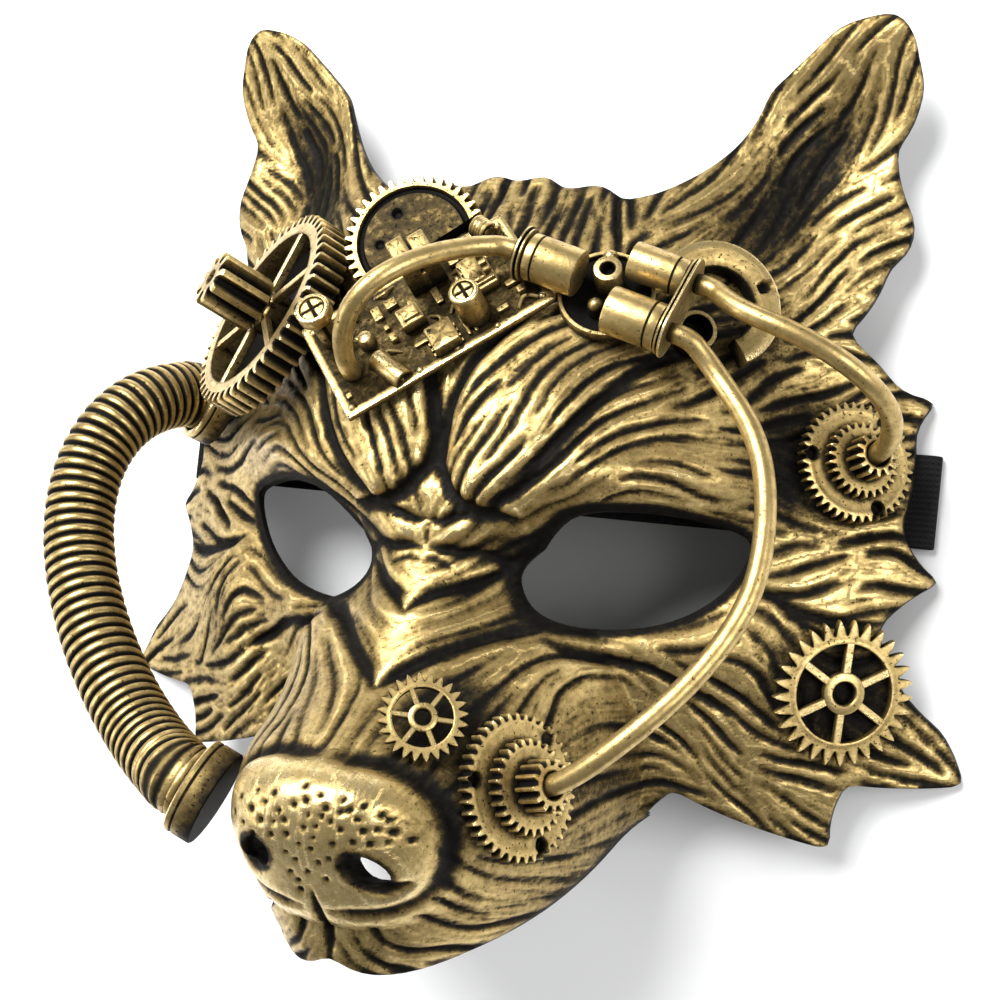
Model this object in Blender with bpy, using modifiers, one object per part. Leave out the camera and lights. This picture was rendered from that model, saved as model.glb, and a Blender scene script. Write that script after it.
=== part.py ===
# Steampunk wolf half mask: a thin moulded face with gears, a board, a valve, tubes and a hose.
# Metres, +Z up. The mask lies on its back: +Z leaves the face, +Y runs to the ears, X spans it.

from collections import namedtuple
from math import cos, hypot, pi, radians, sin

import bmesh
import bpy
import numpy as np
from mathutils import Matrix, Vector, geometry
from mathutils.bvhtree import BVHTree

# Driving sizes of the face
HALF_WIDTH = 0.1032  # midline to the tip of a cheek lock
EAR_REACH = 0.1184  # eye line to the tip of an ear
JAW_REACH = 0.0840  # eye line to the lip
DEPTH = 0.0950  # back of the mask to the top of the nose
WALL = 0.0024  # moulded wall of the face
CELL = 0.0056  # spacing of the facets of the face
GAP = 0.0003  # between pieces that touch

# Nose and its openings
NOSE_HALF_WIDTH = 0.0228
NOSE_HALF_LENGTH = 0.0165
NOSE_ALONG = -0.69  # share of JAW_REACH
NOSE_RISE = 0.0060
NOSTRIL_ACROSS = 0.0116
NOSTRIL_LENGTH = 0.0086
NOSTRIL_WIDTH = 0.0064

# Head strap
STRAP_WIDTH = 0.0200
STRAP_THICKNESS = 0.0012
STRAP_ALONG = 0.0185  # middle of the strap from the eye line
STRAP_TAIL = 0.0200  # stretch glued inside each temple
STRAP_EDGE = 0.838  # share of HALF_WIDTH where the strap leaves the temple
STRAP_LOOP_REACH = 0.0925  # outer end of the fold past the edge of the mask

# Hose and tubes
HOSE_DIAMETER = 0.0158
HOSE_RIB_PITCH = 0.0031
HOSE_RIB_DEPTH = 0.0011
TUBE_DIAMETER = 0.0042
BORE_CLEARANCE = 0.0006

# Gears
CROWN_GEAR_DIAMETER = 0.0486
CROWN_GEAR_WIDTH = 0.0070
CROWN_PINION_DIAMETER = 0.0130
CROWN_PINION_LENGTH = 0.0128
DISC_GEAR_DIAMETER = 0.0310
DISC_GEAR_WIDTH = 0.0042
DISC_GEAR_CHORD = -0.0030  # where its cut edge runs, from its centre
STACK_LARGE_WIDTH = 0.0026
STACK_MIDDLE_WIDTH = 0.0026
STACK_PINION_LENGTH = 0.0052
CHEEK_GEAR_DIAMETER = 0.0305
CHEEK_GEAR_WIDTH = 0.0018
BRIDGE_GEAR_DIAMETER = 0.0173
BRIDGE_GEAR_WIDTH = 0.0016

# Circuit board and valve
BOARD_LENGTH = 0.0492
BOARD_WIDTH = 0.0266
BOARD_THICKNESS = 0.0016
VALVE_AXIS_HEIGHT = 0.0078
BARREL_DIAMETER = 0.0098
BARREL_LENGTH = 0.0112
FLANGE_THICKNESS = 0.0014

# Cross sections of the face from the crown to the lip. along is a share of EAR_REACH above the
# eye line and of JAW_REACH below it, height of DEPTH and reach of HALF_WIDTH; fullness rounds it.
Section = namedtuple("Section", "along height reach fullness")
FACE = (
    Section(1.00, 0.245, 1.08, 3.0),
    Section(0.80, 0.240, 0.99, 2.6),
    Section(0.665, 0.315, 0.95, 2.3),
    Section(0.55, 0.415, 0.92, 1.9),
    Section(0.42, 0.510, 0.90, 1.65),
    Section(0.30, 0.565, 0.905, 1.5),
    Section(0.15, 0.597, 0.915, 1.38),
    Section(0.02, 0.590, 0.935, 1.32),
    Section(-0.12, 0.545, 0.955, 1.3),
    Section(-0.30, 0.455, 1.00, 1.35),
    Section(-0.50, 0.365, 1.03, 1.5),
    Section(-0.68, 0.300, 1.03, 1.6),
    Section(-1.00, 0.200, 1.03, 1.6),
)
MUZZLE = (
    Section(0.55, 0.200, 0.12, 2.0),
    Section(0.25, 0.460, 0.14, 2.0),
    Section(0.08, 0.560, 0.18, 2.0),
    Section(-0.10, 0.635, 0.235, 2.0),
    Section(-0.20, 0.680, 0.31, 1.9),
    Section(-0.36, 0.765, 0.38, 1.8),
    Section(-0.46, 0.870, 0.395, 2.0),
    Section(-0.54, 0.950, 0.395, 2.5),
    Section(-0.66, 0.955, 0.390, 3.0),
    Section(-0.80, 0.885, 0.370, 3.0),
    Section(-0.90, 0.850, 0.345, 2.6),
    Section(-0.96, 0.835, 0.335, 2.2),
    Section(-1.02, 0.810, 0.300, 2.2),
)
MUZZLE_SHOULDER = 0.85  # lower is a squarer flank
MUZZLE_BLEND = 0.0040

# Swellings and hollows: across and wide are shares of HALF_WIDTH, along follows the sections,
# long is a share of EAR_REACH, turn is in degrees and rise a share of DEPTH.
Relief = namedtuple("Relief", "name across along wide long turn rise")
RELIEF = (
    Relief("brow lobe", 0.27, 0.19, 0.22, 0.20, 35, 0.085),
    Relief("brow ridge", 0.42, 0.125, 0.24, 0.07, 12, 0.060),
    Relief("brow inner end", 0.125, 0.075, 0.075, 0.07, 20, 0.030),
    Relief("brow notch", 0.0, 0.17, 0.045, 0.16, 0, -0.035),
    Relief("eye socket", 0.37, -0.02, 0.24, 0.13, 12, -0.075),
    Relief("inner eye corner", 0.155, -0.09, 0.08, 0.12, 0, -0.050),
    Relief("cheek bone", 0.62, -0.24, 0.30, 0.17, 30, 0.050),
    Relief("lower lid", 0.36, -0.25, 0.22, 0.06, 10, 0.030),
    Relief("temple hollow", 0.68, 0.30, 0.13, 0.16, 0, -0.030),
    Relief("strap arch", 0.88, 0.16, 0.10, 0.12, 0, 0.026),
    Relief("ear hollow", 0.60, 0.72, 0.115, 0.20, -22, -0.075),
    Relief("ear back edge", 0.84, 0.86, 0.12, 0.22, -8, 0.030),
    Relief("ear root", 0.40, 0.58, 0.12, 0.08, 0, 0.012),
    Relief("ear tip", 0.76, 1.00, 0.20, 0.20, 0, 0.040),
    Relief("flank hollow", 0.46, -0.40, 0.09, 0.16, -20, -0.045),
)

# Outline of the right half from the crown round the ear, temple, cheek and jaw to the lip. bow
# is the sideways bulge of the stretch that leaves a corner, as a share of the stretch.
Corner = namedtuple("Corner", "across along bow")
OUTLINE = (
    Corner(0.000, 0.672, 0.00),
    Corner(0.055, 0.686, 0.05),
    Corner(0.105, 0.660, -0.05),
    Corner(0.175, 0.670, 0.08),
    Corner(0.240, 0.640, -0.05),
    Corner(0.325, 0.664, -0.10),
    Corner(0.498, 0.862, 0.01),
    Corner(0.632, 0.975, 0.05),
    Corner(0.745, 1.000, 0.14),
    Corner(0.790, 0.930, 0.10),
    Corner(0.797, 0.850, 0.06),
    Corner(0.757, 0.778, -0.06),
    Corner(0.800, 0.660, 0.16),
    Corner(0.765, 0.565, 0.06),
    Corner(0.700, 0.440, -0.03),
    Corner(0.765, 0.390, -0.16),
    Corner(0.872, 0.340, -0.05),
    Corner(0.840, 0.275, 0.05),
    Corner(0.836, 0.110, -0.10),
    Corner(0.915, 0.015, -0.06),
    Corner(0.815, -0.107, -0.10),
    Corner(0.945, -0.345, 0.04),
    Corner(1.000, -0.475, 0.03),
    Corner(0.785, -0.500, -0.09),
    Corner(0.760, -0.668, 0.03),
    Corner(0.455, -0.565, -0.06),
    Corner(0.370, -0.698, 0.05),
    Corner(0.285, -0.865, 0.04),
    Corner(0.180, -0.962, 0.06),
    Corner(0.080, -1.000, 0.08),
    Corner(0.000, -0.965, 0.00),
)

# Points round the right eye opening, from its inner corner along the lower lid.
Rim = namedtuple("Rim", "across along")
EYE = (
    Rim(0.165, -0.075),
    Rim(0.205, -0.150),
    Rim(0.300, -0.182),
    Rim(0.430, -0.150),
    Rim(0.530, -0.060),
    Rim(0.575, 0.045),
    Rim(0.500, 0.072),
    Rim(0.385, 0.078),
    Rim(0.275, 0.060),
    Rim(0.200, 0.000),
)
EYE_FACETS = 30
NOSTRIL_FACETS = 10

# Where pieces stand on the face: heading and tilt aim the piece's axis, spin turns it on that axis.
Stand = namedtuple("Stand", "across along heading tilt spin")
CROWN_GEAR_STAND = Stand(-0.464, 0.366, 147, 42, 0)
DISC_GEAR_STAND = Stand(-0.162, 0.521, 50, 18, 41)
BOARD_STAND = Stand(-0.070, 0.380, 84, 24, 41)
VALVE_STAND = Stand(0.272, 0.438, 60, 26, -15)
RING_CUP_STAND = Stand(0.458, 0.444, 20, 38, 0)
RING_COLLAR_STAND = Stand(0.434, 0.391, 25, 36, 0)
TEMPLE_STAND = Stand(0.729, 0.203, 16, 40, 0)
CHEEK_GEAR_STAND = Stand(0.762, -0.270, -9, 35, 0)
BRIDGE_GEAR_STAND = Stand(0.119, -0.426, 40, 33, 0)
MUZZLE_STAND = Stand(0.281, -0.545, 14, 66, 0)


# The face as a height over the floor

def metres(along):
    """Length along the face for a share of EAR_REACH (above the eye line) or JAW_REACH."""
    along = np.asarray(along, float)
    return np.where(along > 0, along * EAR_REACH, along * JAW_REACH)


def through(stations, values, at):
    """Smooth curve through the values at the stations, read at the given places."""
    order = np.argsort(stations)
    station = np.asarray(stations, float)[order]
    value = np.asarray(values, float)[order]
    slope = np.gradient(value, station)
    at = np.clip(at, station[0], station[-1])
    i = np.clip(np.searchsorted(station, at) - 1, 0, len(station) - 2)
    span = station[i + 1] - station[i]
    t = (at - station[i]) / span
    start = (2 * t**3 - 3 * t**2 + 1) * value[i] + (t**3 - 2 * t**2 + t) * span * slope[i]
    end = (3 * t**2 - 2 * t**3) * value[i + 1] + (t**3 - t**2) * span * slope[i + 1]
    return start + end


def section_values(table, y):
    stations = metres([row.along for row in table])
    height = through(stations, [row.height * DEPTH for row in table], y)
    reach = through(stations, [row.reach * HALF_WIDTH for row in table], y)
    fullness = through(stations, [row.fullness for row in table], y)
    return height, reach, fullness


def smooth_max(a, b, blend):
    share = np.clip(0.5 + (a - b) / (2 * blend), 0, 1)
    return b + (a - b) * share + blend * share * (1 - share)


def relief(row, x, y):
    """A smooth hill or hollow, mirrored across the midline."""
    turn = radians(row.turn)
    dx = np.abs(x) - row.across * HALF_WIDTH
    dy = y - metres(row.along)
    u = (dx * cos(turn) + dy * sin(turn)) / (row.wide * HALF_WIDTH)
    v = (dy * cos(turn) - dx * sin(turn)) / (row.long * EAR_REACH)
    return row.rise * DEPTH * np.exp(-(u**2) - v**2)


def face_height(x, y):
    """Front of the face without the nose pad."""
    crown, reach, fullness = section_values(FACE, y)
    face = crown * (1 - (np.abs(x) / reach)**fullness)
    ridge, reach, fullness = section_values(MUZZLE, y)
    dome = np.clip(1 - (np.abs(x) / reach)**fullness, 0, None)**MUZZLE_SHOULDER
    height = face + smooth_max(ridge - face, 0 * face, MUZZLE_BLEND) * dome
    for row in RELIEF:
        height = height + relief(row, x, y)
    return height


def front_height(x, y):
    """Front of the face with the nose pad, a low plateau with round shoulders."""
    across = np.abs(x) / NOSE_HALF_WIDTH
    along = np.abs(y - metres(NOSE_ALONG)) / NOSE_HALF_LENGTH
    inside = np.clip(1 - across**2.6 - along**2.6, 0, None)
    return np.maximum(face_height(x, y) + NOSE_RISE * inside**0.45, back_height(x, y) + WALL)


def back_height(x, y):
    """Inside of the face: the wall is measured square to the surface, and feet are cut flat."""
    step = CELL / 8
    height = face_height(x, y)
    slope_x = (face_height(x + step, y) - face_height(x - step, y)) / (2 * step)
    slope_y = (face_height(x, y + step) - face_height(x, y - step)) / (2 * step)
    lean = np.sqrt(1 + slope_x**2 + slope_y**2)
    return np.maximum(height - WALL * np.minimum(lean, 3.0), 0)


def place(across, along):
    return np.array((across * HALF_WIDTH, float(metres(along))))


def bowed_path(corners, spacing):
    """Points along the corners, each stretch bulging sideways by its bow."""
    points = []
    for first, second in zip(corners[:-1], corners[1:]):
        start = place(first.across, first.along)
        chord = place(second.across, second.along) - start
        count = max(1, round(hypot(*chord) / spacing))
        t = np.arange(count)[:, None] / count
        side = np.array((-chord[1], chord[0]))
        points.append(start + t * chord + 4 * t * (1 - t) * first.bow * side)
    points.append(place(corners[-1].across, corners[-1].along)[None])
    return np.vstack(points)


def smooth_loop(points, count):
    """Closed curve through the points, with count places on it."""
    points = np.asarray(points, float)
    total = len(points)
    share = np.arange(count) * total / count
    i = share.astype(int)
    t = (share - i)[:, None]
    a, b, c, d = (points[(i + shift) % total] for shift in (-1, 0, 1, 2))
    cubic = 3 * b - a - 3 * c + d
    return 0.5 * (2 * b + (c - a) * t + (2 * a - 5 * b + 4 * c - d) * t**2 + cubic * t**3)


def smooth_route(points, spacing):
    """Open curve through the points of a route, with a point about every spacing."""
    points = [Vector(p) for p in points]
    ends = [2 * points[0] - points[1]] + points + [2 * points[-1] - points[-2]]
    dense = []
    for a, b, c, d in zip(ends, ends[1:], ends[2:], ends[3:]):
        for t in np.linspace(0, 1, 24, endpoint=False):
            curve = 2 * b + (c - a) * t + (2 * a - 5 * b + 4 * c - d) * t**2
            dense.append(0.5 * (curve + (3 * b - a - 3 * c + d) * t**3))
    dense.append(points[-1])
    reach = np.cumsum([0] + [(q - p).length for p, q in zip(dense, dense[1:])])
    count = max(2, round(reach[-1] / spacing) + 1)
    wanted = np.linspace(0, reach[-1], count)
    return [Vector([np.interp(s, reach, [p[axis] for p in dense]) for axis in range(3)])
            for s in wanted]


def inside_loop(points, loop):
    """Whether each point lies inside a closed loop."""
    hit = np.zeros(len(points), bool)
    for a, b in zip(loop, np.roll(loop, -1, axis=0)):
        crosses = (a[1] > points[:, 1]) != (b[1] > points[:, 1])
        rise = b[1] - a[1] if b[1] != a[1] else 1
        hit ^= crosses & (points[:, 0] < (b[0] - a[0]) * (points[:, 1] - a[1]) / rise + a[0])
    return hit


def clear_of_loop(points, loop, margin):
    """Whether each point keeps a margin to the loop's edges."""
    clear = np.ones(len(points), bool)
    for a, b in zip(loop, np.roll(loop, -1, axis=0)):
        edge = b - a
        t = np.clip((points - a) @ edge / max(edge @ edge, 1e-18), 0, 1)
        away = np.linalg.norm(points - (a + t[:, None] * edge), axis=1)
        clear &= away > margin
    return clear


# Objects, materials and collections

def clear_scene():
    for thing in list(bpy.data.objects):
        bpy.data.objects.remove(thing, do_unlink=True)


def collection(name):
    made = bpy.data.collections.new(name)
    bpy.context.scene.collection.children.link(made)
    return made


def material(name, color, roughness, metallic):
    made = bpy.data.materials.new(name)
    made.use_nodes = True
    made.diffuse_color = (*color, 1)
    shader = made.node_tree.nodes["Principled BSDF"]
    shader.inputs["Base Color"].default_value = (*color, 1)
    shader.inputs["Roughness"].default_value = roughness
    shader.inputs["Metallic"].default_value = metallic
    return made


def add_object(name, data, finish, frame=None):
    """A named piece of the mask, carried by the empty at the frame's origin."""
    made = bpy.data.objects.new(name, data)
    parts.objects.link(made)
    data.materials.append(finish)
    made.parent = origin
    if frame is not None:
        made.matrix_basis = frame
    return made


def mesh_object(name, mesh, finish, frame=None, round_shape=True):
    if round_shape:
        mesh.shade_smooth()
        mesh.set_sharp_from_angle(angle=radians(35))
    return add_object(name, mesh, finish, frame)


def bmesh_data(name, form):
    data = bpy.data.meshes.new(name)
    form.to_mesh(data)
    form.free()
    return data


def box(name, size, finish, frame, bevel=0.0):
    """A block standing on its frame, centred across it."""
    form = bmesh.new()
    bmesh.ops.create_cube(form, size=1)
    bmesh.ops.translate(form, vec=(0, 0, 0.5), verts=form.verts)
    bmesh.ops.scale(form, vec=size, verts=form.verts)
    made = mesh_object(name, bmesh_data(name, form), finish, frame, round_shape=False)
    if bevel:
        edges = made.modifiers.new("rounded edges", "BEVEL")
        edges.width = bevel
        edges.segments = 1
    return made


def turned(name, profile, sides, finish, frame):
    """A profile of (radius, height) pairs, listed top to bottom, turned round its frame's axis."""
    data = bpy.data.meshes.new(name)
    points = [(radius, 0, height) for radius, height in profile]
    edges = [(i, i + 1) for i in range(len(points) - 1)]
    if profile[0][0] > 0:
        edges.append((len(points) - 1, 0))
    data.from_pydata(points, edges, [])
    made = add_object(name, data, finish, frame)
    screw = made.modifiers.new("turned", "SCREW")
    screw.steps = sides
    screw.render_steps = sides
    screw.use_merge_vertices = True
    screw.merge_threshold = 0.00001
    screw.use_smooth_shade = False
    return made


def outline_curve(name, loops, thickness, finish, frame):
    """Flat outline with its holes, thickened from the frame's plane upwards."""
    data = bpy.data.curves.new(name, "CURVE")
    data.dimensions = "2D"
    data.fill_mode = "BOTH"
    data.extrude = thickness / 2
    for loop in loops:
        spline = data.splines.new("POLY")
        spline.points.add(len(loop) - 1)
        for point, (x, y) in zip(spline.points, loop):
            point.co = (x, y, 0, 1)
        spline.use_cyclic_u = True
    return add_object(name, data, finish, frame @ Matrix.Translation((0, 0, thickness / 2)))


def tube(name, route, diameter, finish, resolution=2, radii=None):
    """A round tube along a route, with flat filled ends."""
    data = bpy.data.curves.new(name, "CURVE")
    data.dimensions = "3D"
    data.bevel_depth = diameter / 2
    data.bevel_resolution = resolution
    data.use_fill_caps = True
    spline = data.splines.new("POLY")
    spline.points.add(len(route) - 1)
    for i, (point, spot) in enumerate(zip(spline.points, route)):
        point.co = (*spot, 1)
        point.radius = radii[i] if radii else 1
    return add_object(name, data, finish)


# Face shell and strap

def face_loops():
    """Outline of the right half, and the loops cut through it."""
    outline = bowed_path(OUTLINE, CELL)
    eye = smooth_loop([place(row.across, row.along) for row in EYE], EYE_FACETS)
    turn = np.linspace(0, 2 * pi, NOSTRIL_FACETS, endpoint=False)
    middle = place(0, NOSE_ALONG) + (NOSTRIL_ACROSS, -0.22 * NOSE_HALF_LENGTH)
    oval = (NOSTRIL_LENGTH / 2 * np.cos(turn), NOSTRIL_WIDTH / 2 * np.sin(turn))
    lean = radians(-20)
    nostril = np.stack((oval[0] * cos(lean) - oval[1] * sin(lean),
                        oval[0] * sin(lean) + oval[1] * cos(lean)), axis=1) + middle
    return outline, [eye, nostril]


def face_shell():
    """Half of the mask from a flat triangulation, lifted to its front and back, and mirrored."""
    outline, holes = face_loops()
    top, bottom = outline[0, 1], outline[-1, 1]
    steps = round((top - bottom) / CELL)
    midline = np.stack((np.zeros(steps - 1), np.linspace(bottom, top, steps + 1)[1:-1]), axis=1)
    loops = [np.vstack((outline, midline))] + holes
    columns = np.arange(CELL * 0.866, HALF_WIDTH, CELL * 0.866)
    inner = []
    for i, x in enumerate(columns):
        rows = np.arange(-JAW_REACH - CELL * (i % 2) / 2, EAR_REACH, CELL)
        inner.append(np.stack((np.full(len(rows), x), rows), axis=1))
    inner = np.vstack(inner)
    keep = inside_loop(inner, loops[0]) & clear_of_loop(inner, loops[0], 0.55 * CELL)
    for hole in holes:
        keep &= ~inside_loop(inner, hole) & clear_of_loop(inner, hole, 0.5 * CELL)
    flat = np.vstack(loops + [inner[keep]])
    edges = []
    start = 0
    for loop in loops:
        count = len(loop)
        edges += [(start + i, start + (i + 1) % count) for i in range(count)]
        start += count
    points = [Vector(p) for p in flat]
    points, _, faces, _, _, _ = geometry.delaunay_2d_cdt(points, edges, [], 0, 1e-7)
    flat = np.array(points)
    middles = np.array([flat[list(face)].mean(axis=0) for face in faces])
    kept = inside_loop(middles, loops[0])
    for hole in holes:
        kept &= ~inside_loop(middles, hole)
    faces = [face for face, good in zip(faces, kept) if good]
    x, y = flat[:, 0], flat[:, 1]
    front = np.column_stack((flat, front_height(x, y)))
    back = np.column_stack((flat, back_height(x, y)))
    total = len(flat)
    sides = {}
    for face in faces:
        for a, b in zip(face, face[1:] + face[:1]):
            sides[(a, b)] = True
    on_midline = np.abs(x) < 1e-9
    rim = [(a, b) for a, b in sides
           if (b, a) not in sides and not (on_midline[a] and on_midline[b])]
    skin = [tuple(face) for face in faces]
    skin += [tuple(total + i for i in reversed(face)) for face in faces]
    skin += [(b, a, total + a, total + b) for a, b in rim]
    data = bpy.data.meshes.new("face_shell")
    data.from_pydata(np.vstack((front, back)).tolist(), [], skin)
    made = mesh_object("face_shell", data, gold)
    mirror = made.modifiers.new("other half", "MIRROR")
    mirror.use_clip = False
    mirror.merge_threshold = 0.00001
    triangles = made.modifiers.new("triangles", "TRIANGULATE")
    triangles.min_vertices = 4
    return made


def head_strap():
    """Elastic band: glued inside one temple, folded past the edge, and laid across behind."""
    span = np.linspace(-STRAP_WIDTH / 2, STRAP_WIDTH / 2, 5) + STRAP_ALONG
    half = STRAP_THICKNESS / 2
    edge = STRAP_EDGE * HALF_WIDTH
    xs = np.linspace(edge - STRAP_TAIL, edge, 5)
    room = np.array([back_height(np.full(5, x), span).min() for x in xs]) - 3 * GAP - half
    upper = np.maximum.accumulate(room[::-1])[::-1]
    upper = np.minimum(upper, np.maximum(room, 3.4 * half))
    low = half
    radius = (upper[-1] - low) / 2
    bend = np.linspace(pi / 2, -pi / 2, 7)
    fold = [(STRAP_LOOP_REACH - half - radius + radius * cos(a), low + radius + radius * sin(a))
            for a in bend]
    path = list(zip(xs, upper)) + fold + [(edge - STRAP_TAIL, low), (0, low)]
    path = path + [(-x, z) for x, z in reversed(path[:-1])]
    front, rear = STRAP_ALONG - STRAP_WIDTH / 2, STRAP_ALONG + STRAP_WIDTH / 2
    points = [(x, y, z) for x, z in path for y in (front, rear)]
    faces = [(2 * i, 2 * i + 1, 2 * i + 3, 2 * i + 2) for i in range(len(path) - 1)]
    data = bpy.data.meshes.new("head_strap")
    data.from_pydata(points, [], faces)
    made = mesh_object("head_strap", data, elastic)
    wall = made.modifiers.new("webbing", "SOLIDIFY")
    wall.thickness = STRAP_THICKNESS
    wall.offset = 0
    wall.use_even_offset = True
    return made


# Seats on the face

def stand_frame(stand):
    """Frame on the front of the face: its Z aims by heading and tilt, and spin turns it."""
    x, y = place(stand.across, stand.along)
    heading = Matrix.Rotation(radians(stand.heading), 4, "Z")
    lean = Matrix.Rotation(radians(stand.tilt), 4, "Y")
    back = Matrix.Rotation(radians(stand.spin - stand.heading), 4, "Z")
    return Matrix.Translation((x, y, float(front_height(x, y)))) @ heading @ lean @ back


def lifted(frame, height, across=0.0, along=0.0):
    return frame @ Matrix.Translation((across, along, height))


def seated(frame, half_length, half_width=None, lowest=-1.0):
    """Raise a frame until a round or oblong foot on it clears the face by the gap.

    The part of a round foot whose local Y is below lowest is left out.
    """
    inverse = np.array(frame.inverted())
    local = face_points @ inverse[:3, :3].T + inverse[:3, 3]
    if half_width is None:
        under = (np.hypot(local[:, 0], local[:, 1]) < half_length) & (local[:, 1] > lowest)
        turns = np.linspace(0, 2 * pi, 32, endpoint=False)
        samples = [(r * cos(a), r * sin(a)) for r in (half_length, 0.6 * half_length, 0)
                   for a in turns if r * sin(a) >= lowest]
    else:
        under = (np.abs(local[:, 0]) < half_length) & (np.abs(local[:, 1]) < half_width)
        samples = [(u * half_length, v * half_width)
                   for u in np.linspace(-1, 1, 13) for v in np.linspace(-1, 1, 9)]
    reach = 0.05
    tops = [local[under, 2].max()] if under.any() else []
    axis = frame.to_3x3() @ Vector((0, 0, 1))
    for x, y in samples:
        start = frame @ Vector((x, y, reach))
        spot, _, _, _ = face_tree.ray_cast(start, -axis, 2 * reach)
        if spot is not None:
            tops.append(reach - (start - spot).length)
    return lifted(frame, max(tops) + GAP)


# Gears

def toothed_loop(diameter, teeth, depth, tip):
    """Outline of a gear: tip is the share of a tooth's pitch that its flat end takes."""
    outer, root = diameter / 2, diameter / 2 - depth
    pitch = 2 * pi / teeth
    points = []
    for k in range(teeth):
        middle = k * pitch
        if tip:
            places = ((-0.32, root), (-tip / 2, outer), (tip / 2, outer), (0.32, root))
        else:
            places = ((-0.5, root), (0, outer))
        points += [(r * cos(middle + s * pitch), r * sin(middle + s * pitch)) for s, r in places]
    return points


def circle_loop(radius, sides, x=0.0, y=0.0):
    turns = [2 * pi * i / sides for i in range(sides)]
    return [(x + radius * cos(a), y + radius * sin(a)) for a in turns]


def spoke_windows(inner, outer, spokes, width):
    """Openings between straight spokes, from the hub's radius to the rim's."""
    loops = []
    for k in range(spokes):
        loop = []
        for radius, order in ((outer, 1), (inner, -1)):
            half = width / 2 / radius
            start, end = 2 * pi * k / spokes + half, 2 * pi * (k + 1) / spokes - half
            count = 4 if order == 1 else 3
            turns = np.linspace(start, end, count)[::order]
            loop += [(radius * cos(a), radius * sin(a)) for a in turns]
        loops.append(loop)
    return loops


Stack = namedtuple("Stack", "name large middle pinion")
TEMPLE_STACK = Stack("temple", 0.0256, 0.0160, 0.0094)
MUZZLE_STACK = Stack("muzzle", 0.0284, 0.0184, 0.0104)
STACK_LARGE_TEETH = 40
STACK_MIDDLE_TEETH = 26
STACK_PINION_TEETH = 13
STACK_TOOTH = 0.0011
STACK_HOLE_RADIUS = 0.0014


def gear_stack(stack, stand):
    """Three gears in one axis, the last one hollow for the end of a tube."""
    prefix = stack.name
    foot = seated(stand_frame(stand), stack.large / 2)
    bore = circle_loop(TUBE_DIAMETER / 2 + BORE_CLEARANCE, 12)
    reach = (stack.large + stack.middle) / 4
    holes = [circle_loop(STACK_HOLE_RADIUS, 6, reach * cos(a), reach * sin(a))
             for a in (radians(60), radians(180), radians(300))]
    large = toothed_loop(stack.large, STACK_LARGE_TEETH, STACK_TOOTH, 0)
    middle = toothed_loop(stack.middle, STACK_MIDDLE_TEETH, STACK_TOOTH, 0)
    pinion = toothed_loop(stack.pinion, STACK_PINION_TEETH, STACK_TOOTH, 0.24)
    outline_curve(f"{prefix}_gear_large", [large] + holes, STACK_LARGE_WIDTH, gold, foot)
    second = lifted(foot, STACK_LARGE_WIDTH + GAP)
    outline_curve(f"{prefix}_gear_middle", [middle], STACK_MIDDLE_WIDTH, gold, second)
    third = lifted(second, STACK_MIDDLE_WIDTH + GAP)
    outline_curve(f"{prefix}_pinion", [pinion, bore], STACK_PINION_LENGTH, gold, third)
    return third


def crown_gear():
    foot = seated(stand_frame(CROWN_GEAR_STAND), CROWN_GEAR_DIAMETER / 2)
    rim = CROWN_GEAR_DIAMETER / 2 - 0.0050
    teeth = toothed_loop(CROWN_GEAR_DIAMETER, 48, 0.0021, 0.26)
    windows = spoke_windows(0.0052, rim, 6, 0.0016)
    outline_curve("crown_gear", [teeth] + windows, CROWN_GEAR_WIDTH, gold, foot)
    face = lifted(foot, CROWN_GEAR_WIDTH + GAP)
    splines = toothed_loop(CROWN_PINION_DIAMETER, 9, 0.0026, 0.34)
    outline_curve("crown_pinion", [splines], CROWN_PINION_LENGTH, gold, face)


def disc_gear():
    """Gear behind the board; the segment that would lie under the board is cut away."""
    foot = seated(stand_frame(DISC_GEAR_STAND), DISC_GEAR_DIAMETER / 2, lowest=DISC_GEAR_CHORD)
    teeth = [p for p in toothed_loop(DISC_GEAR_DIAMETER, 40, 0.0017, 0) if p[1] > DISC_GEAR_CHORD]
    hole = circle_loop(0.0010, 6, 0, 0.0076)
    outline_curve("disc_gear", [teeth, hole], DISC_GEAR_WIDTH, gold, foot)


def cheek_gear():
    foot = seated(stand_frame(CHEEK_GEAR_STAND), CHEEK_GEAR_DIAMETER / 2)
    teeth = toothed_loop(CHEEK_GEAR_DIAMETER, 29, 0.0030, 0)
    windows = spoke_windows(0.0044, 0.0104, 6, 0.0016)
    bore = circle_loop(0.0025, 10)
    outline_curve("cheek_gear", [teeth, bore] + windows, CHEEK_GEAR_WIDTH, gold, foot)


def bridge_gear():
    foot = seated(stand_frame(BRIDGE_GEAR_STAND), BRIDGE_GEAR_DIAMETER / 2)
    teeth = toothed_loop(BRIDGE_GEAR_DIAMETER, 24, 0.0016, 0)
    windows = spoke_windows(0.0028, 0.0058, 6, 0.0011)
    bore = circle_loop(0.0016, 8)
    outline_curve("bridge_gear", [teeth, bore] + windows, BRIDGE_GEAR_WIDTH, gold, foot)


# Circuit board

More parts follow.
